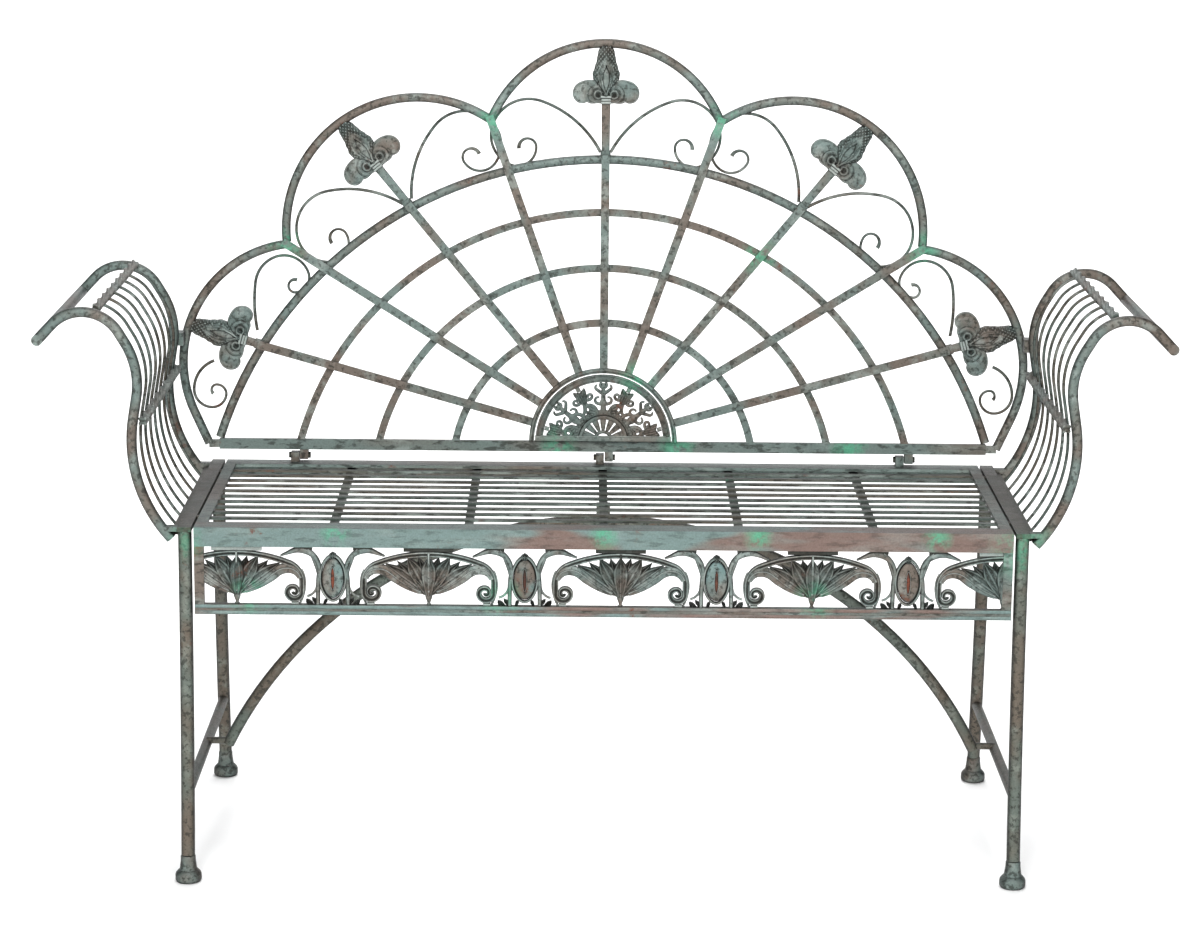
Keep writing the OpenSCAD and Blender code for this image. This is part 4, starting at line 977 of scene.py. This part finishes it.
def makeScrolls():
    s = scrollShape
    b = backShape
    wires = bmesh.new()
    mainRadius = archRadius(b["mainHalf"], b["mainRise"])
    mainCentre = Vector((0, b["mainRise"] - mainRadius))
    valley = fromHub(b["spokeTurns"][1], b["valley"])
    sideValley = fromHub(b["spokeTurns"][3], b["sideValley"])
    along = (sideValley - valley).normalized()
    shoulderTurn = math.degrees(math.atan2(along.y, along.x))
    shoulder = fromHub(b["spokeTurns"][2], rayReach(b["spokeTurns"][2], mainCentre, mainRadius))

    def taper(u):                      # a wire thins a little towards its curled end, which is flattened
        end = max(0, (u - 0.93) / 0.07)
        return 1.08 - 0.22 * u + 0.5 * end, 1.08 - 0.22 * u - 0.35 * end

    pair = bentPath((s["startX"], s["startY"]), s["heading"], s["pair"], 2.5)
    section = roundSection(s["wire"] / 2 + 0.25, 10)
    spots = [((0, b["mainRise"]), 0, False), (tuple(shoulder), shoulderTurn, True)]
    for at, spin, both in spots:
        for side in (-1, 1):
            points = shifted(turned(mirrored(pair, side), -spin), *at)
            sweep(wires, points, section, tubeMid, taper)
            if both:
                sweep(wires, mirrored(points, -1), section, tubeMid, taper)
    for start, heading, runs in ((s["upperStart"], s["upperHeading"], s["upper"]),
                                 (s["lowerStart"], s["lowerHeading"], s["lower"])):
        path = bentPath(start, heading, runs, 2.5)
        for side in (-1, 1):
            sweep(wires, mirrored(path, side), section, tubeMid, taper)
    makePiece("backScrolls", wires, onBack, slatSteel, ("scrolls",), 60)


makeScrolls()
print("scrolls made")


# feet

footShape = {"height": 34, "disc": 16.45, "neck": 9.2}


def makeFoot(name):
    s = footShape
    low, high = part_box(name)
    mesh = bmesh.new()
    r, n, h = s["disc"], s["neck"], s["height"]
    profile = [(r - 3.2, 0), (r - 1.4, 0.5), (r - 0.2, 2.4), (r, 4.2), (r - 0.1, 9.0), (r - 0.9, 11.4),
               (r - 2.6, 13.4), (n + 3.4, 14.9), (n + 2.2, 15.6), (n + 1.6, 17.4), (n + 0.9, 22),
               (n + 0.2, 28), (n + 0.1, 32.6), (n - 0.5, h)]
    lathe(mesh, profile, None, 40)
    place = Matrix.Translation(((low.x + high.x) / 2, (low.y + high.y) / 2, low.z)) @ Matrix.Scale(mm, 4)
    words = name.split("_")
    makePiece(words[0] + words[1].capitalize() + "Foot", mesh, place, patinaSteel, (name,), 40)


for name in ("front_left_foot", "front_right_foot", "back_left_foot", "back_right_foot"):
    makeFoot(name)
print("feet made")


# weld beads where bars cross

beadShape = {"radius": 6.2, "height": 1.7, "unevenness": 0.22, "sink": 0.9}


def bead(mesh, x, y, z, seed):
    radius, height, unevenness = (beadShape[k] for k in ("radius", "height", "unevenness"))
    sides, rings = 14, 4
    rows = []
    for k in range(rings):
        t = k / rings
        row = []
        for j in range(sides):
            a = 2 * math.pi * j / sides
            rough = 1 + unevenness * noise.noise(Vector((math.cos(a) * 1.4, math.sin(a) * 1.4, seed)))
            reach = radius * rough * math.cos(math.pi / 2 * t)
            row.append(mesh.verts.new((x + reach * math.cos(a), y + reach * math.sin(a),
                                       z + height * math.sin(math.pi / 2 * t) * rough)))
        rows.append(row)
    under = [mesh.verts.new((v.co.x, v.co.y, z - 1)) for v in rows[0]]
    rows.insert(0, under)
    top = mesh.verts.new((x, y, z + height))
    for now, then in zip(rows, rows[1:]):
        for j in range(sides):
            mesh.faces.new((now[j], now[(j + 1) % sides], then[(j + 1) % sides], then[j]))
    for j in range(sides):
        mesh.faces.new((rows[-1][j], rows[-1][(j + 1) % sides], top))
    mesh.faces.new(list(reversed(under)))


def makeWelds():
    s = backShape
    beads = bmesh.new()
    arches = [(half, rise, s["spokeThick"]) for half, rise in s["hoops"]]
    arches.append((s["mainHalf"], s["mainRise"], s["spokeThick"] - 0.4))
    count = 0
    for half, rise, height in arches:
        radius = archRadius(half, rise)
        centre = Vector((0, rise - radius))
        for index, turn in enumerate(s["spokeTurns"]):
            for side in ((1,) if index == 0 else (-1, 1)):
                spot = fromHub(side * turn, rayReach(turn, centre, radius))
                bead(beads, spot.x, spot.y, height - beadShape["sink"], count)
                count += 1
    makePiece("backWelds", beads, onBack, patinaSteel, (), 70)


makeWelds()
print("welds made")


# finishes and worn edges of the plain bars and tubes

plainFinishes = [                      # finish, parts and width of the worn edge
    (patinaRail, ("seat_front_rail",), 0.9),
    (patinaBar, ("seat_back_rail", "seat_left_rail", "seat_right_rail", "back_bottom_rail",
                 "apron_frame"), 0.9),
    (slatSteel, ("seat_slats", "seat_cross_bars"), 0.5),
    (oliveSteel, ("left_side_bar", "right_side_bar", "left_arm_base_bar", "right_arm_base_bar"), 1.0),
    (oliveSteel, ("bolts",), 0.0),
    (patinaSteel, ("outer_hoop", "middle_hoop", "inner_hoop", "fleur_spokes", "valley_spokes"), 0.9),
    (patinaSteel, ("back_end_links", "back_lugs", "arm_spacers", "left_arm_links", "right_arm_links"), 0.8),
    (patinaLeg, ("front_left_leg", "front_right_leg", "back_left_leg", "back_right_leg", "left_stretcher",
                 "right_stretcher", "arch_brace", "brace_brackets"), 0.0),
    (patinaSteel, ("back_main_arch", "top_lobe",
                   "left_shoulder_lobe", "right_shoulder_lobe", "left_side_lobe", "right_side_lobe",
                   "left_arm_tip_bar", "right_arm_tip_bar"), 0.0),
]
for finish, names, wear in plainFinishes:
    for name in names:
        part = nodes[name]
        part.data.materials.clear()
        part.data.materials.append(finish)
        if wear:
            edge = part.modifiers.new("wornEdges", "BEVEL")
            edge.width = wear * mm
            edge.segments = 2
            edge.limit_method = "ANGLE"
            edge.angle_limit = math.radians(40)
            edge.harden_normals = True
print("plain parts finished")


# floor, light and camera

studio = {
    "floor": (0.92, 0.92, 0.92), "world": (0.95, 0.97, 1.0), "worldStrength": 0.15,
    "lamps": [                         # name, place, aim, size and power
        ("keyLight", (-0.7, -4.4, 2.2), (0, 0, 0.5), 0.8, 74),
        ("fillLight", (2.2, -3.6, 1.6), (0, 0, 0.5), 1.2, 12),
        ("floorLight", (0, 2.4, 3.4), (0, 3.0, 0), 3.2, 210),
        ("frontFloorLight", (0, -1.8, 3.0), (0, -0.2, 0), 2.0, 85),
    ],
}


def plainMaterial(name, colour, rough):
    finish = bpy.data.materials.new(name)
    finish.use_nodes = True
    shader = finish.node_tree.nodes["Principled BSDF"]
    shader.inputs["Base Color"].default_value = (*colour, 1)
    shader.inputs["Roughness"].default_value = rough
    return finish


def makeStudio():
    floor = bmesh.new()
    run = [(-4.0, 0), (3.0, 0)] + [(3.0 + 2.0 * math.sin(a), 2.0 - 2.0 * math.cos(a)) for a in
                                   (math.pi / 2 * k / 12 for k in range(1, 13))] + [(5.0, 7.0)]
    rows = [[floor.verts.new((x, y, z)) for x in (-9, 9)] for y, z in [(-9.0, 0)] + run]
    for now, then in zip(rows, rows[1:]):
        floor.faces.new((now[0], now[1], then[1], then[0]))
    data = bpy.data.meshes.new("studioFloor")
    for f in floor.faces:
        f.smooth = True
    floor.to_mesh(data)
    floor.free()
    ground = bpy.data.objects.new("studioFloor", data)
    bpy.context.scene.collection.objects.link(ground)
    data.materials.append(plainMaterial("paleFloor", studio["floor"], 0.9))

    world = bpy.data.worlds.new("studioWorld")
    world.use_nodes = True
    world.node_tree.nodes["Background"].inputs["Color"].default_value = (*studio["world"], 1)
    world.node_tree.nodes["Background"].inputs["Strength"].default_value = studio["worldStrength"]
    bpy.context.scene.world = world
    for name, place, aim, size, power in studio["lamps"]:
        lamp = bpy.data.lights.new(name, "AREA")
        lamp.size = size
        lamp.energy = power
        light = bpy.data.objects.new(name, lamp)
        light.location = place
        light.rotation_mode = "QUATERNION"
        light.rotation_quaternion = (Vector(aim) - Vector(place)).to_track_quat("-Z", "Y")
        bpy.context.scene.collection.objects.link(light)
    bpy.context.scene.view_settings.view_transform = "Standard"


cameraShape = {
    "place": (-0.0273, -4.0277, 1.3946), "lens": 96.4,
    "down": 12.645, "right": 0.322, "roll": 0.545,      # degrees
}


def makeCamera():
    s = cameraShape
    down, yaw, roll = (math.radians(s[k]) for k in ("down", "right", "roll"))
    ahead = Vector((math.sin(yaw) * math.cos(down), math.cos(yaw) * math.cos(down), -math.sin(down)))
    right = Vector((math.cos(yaw), -math.sin(yaw), 0))
    up = right.cross(ahead)
    rolledRight = right * math.cos(roll) + up * math.sin(roll)
    rolledUp = up * math.cos(roll) - right * math.sin(roll)
    data = bpy.data.cameras.new("camera")
    data.lens = s["lens"]
    data.sensor_width = 36
    camera = bpy.data.objects.new("camera", data)
    turn = Matrix((rolledRight, rolledUp, -ahead)).transposed()
    camera.matrix_world = Matrix.Translation(s["place"]) @ turn.to_4x4()
    bpy.context.scene.collection.objects.link(camera)
    bpy.context.scene.camera = camera


makeStudio()
makeCamera()
print("studio and camera made")
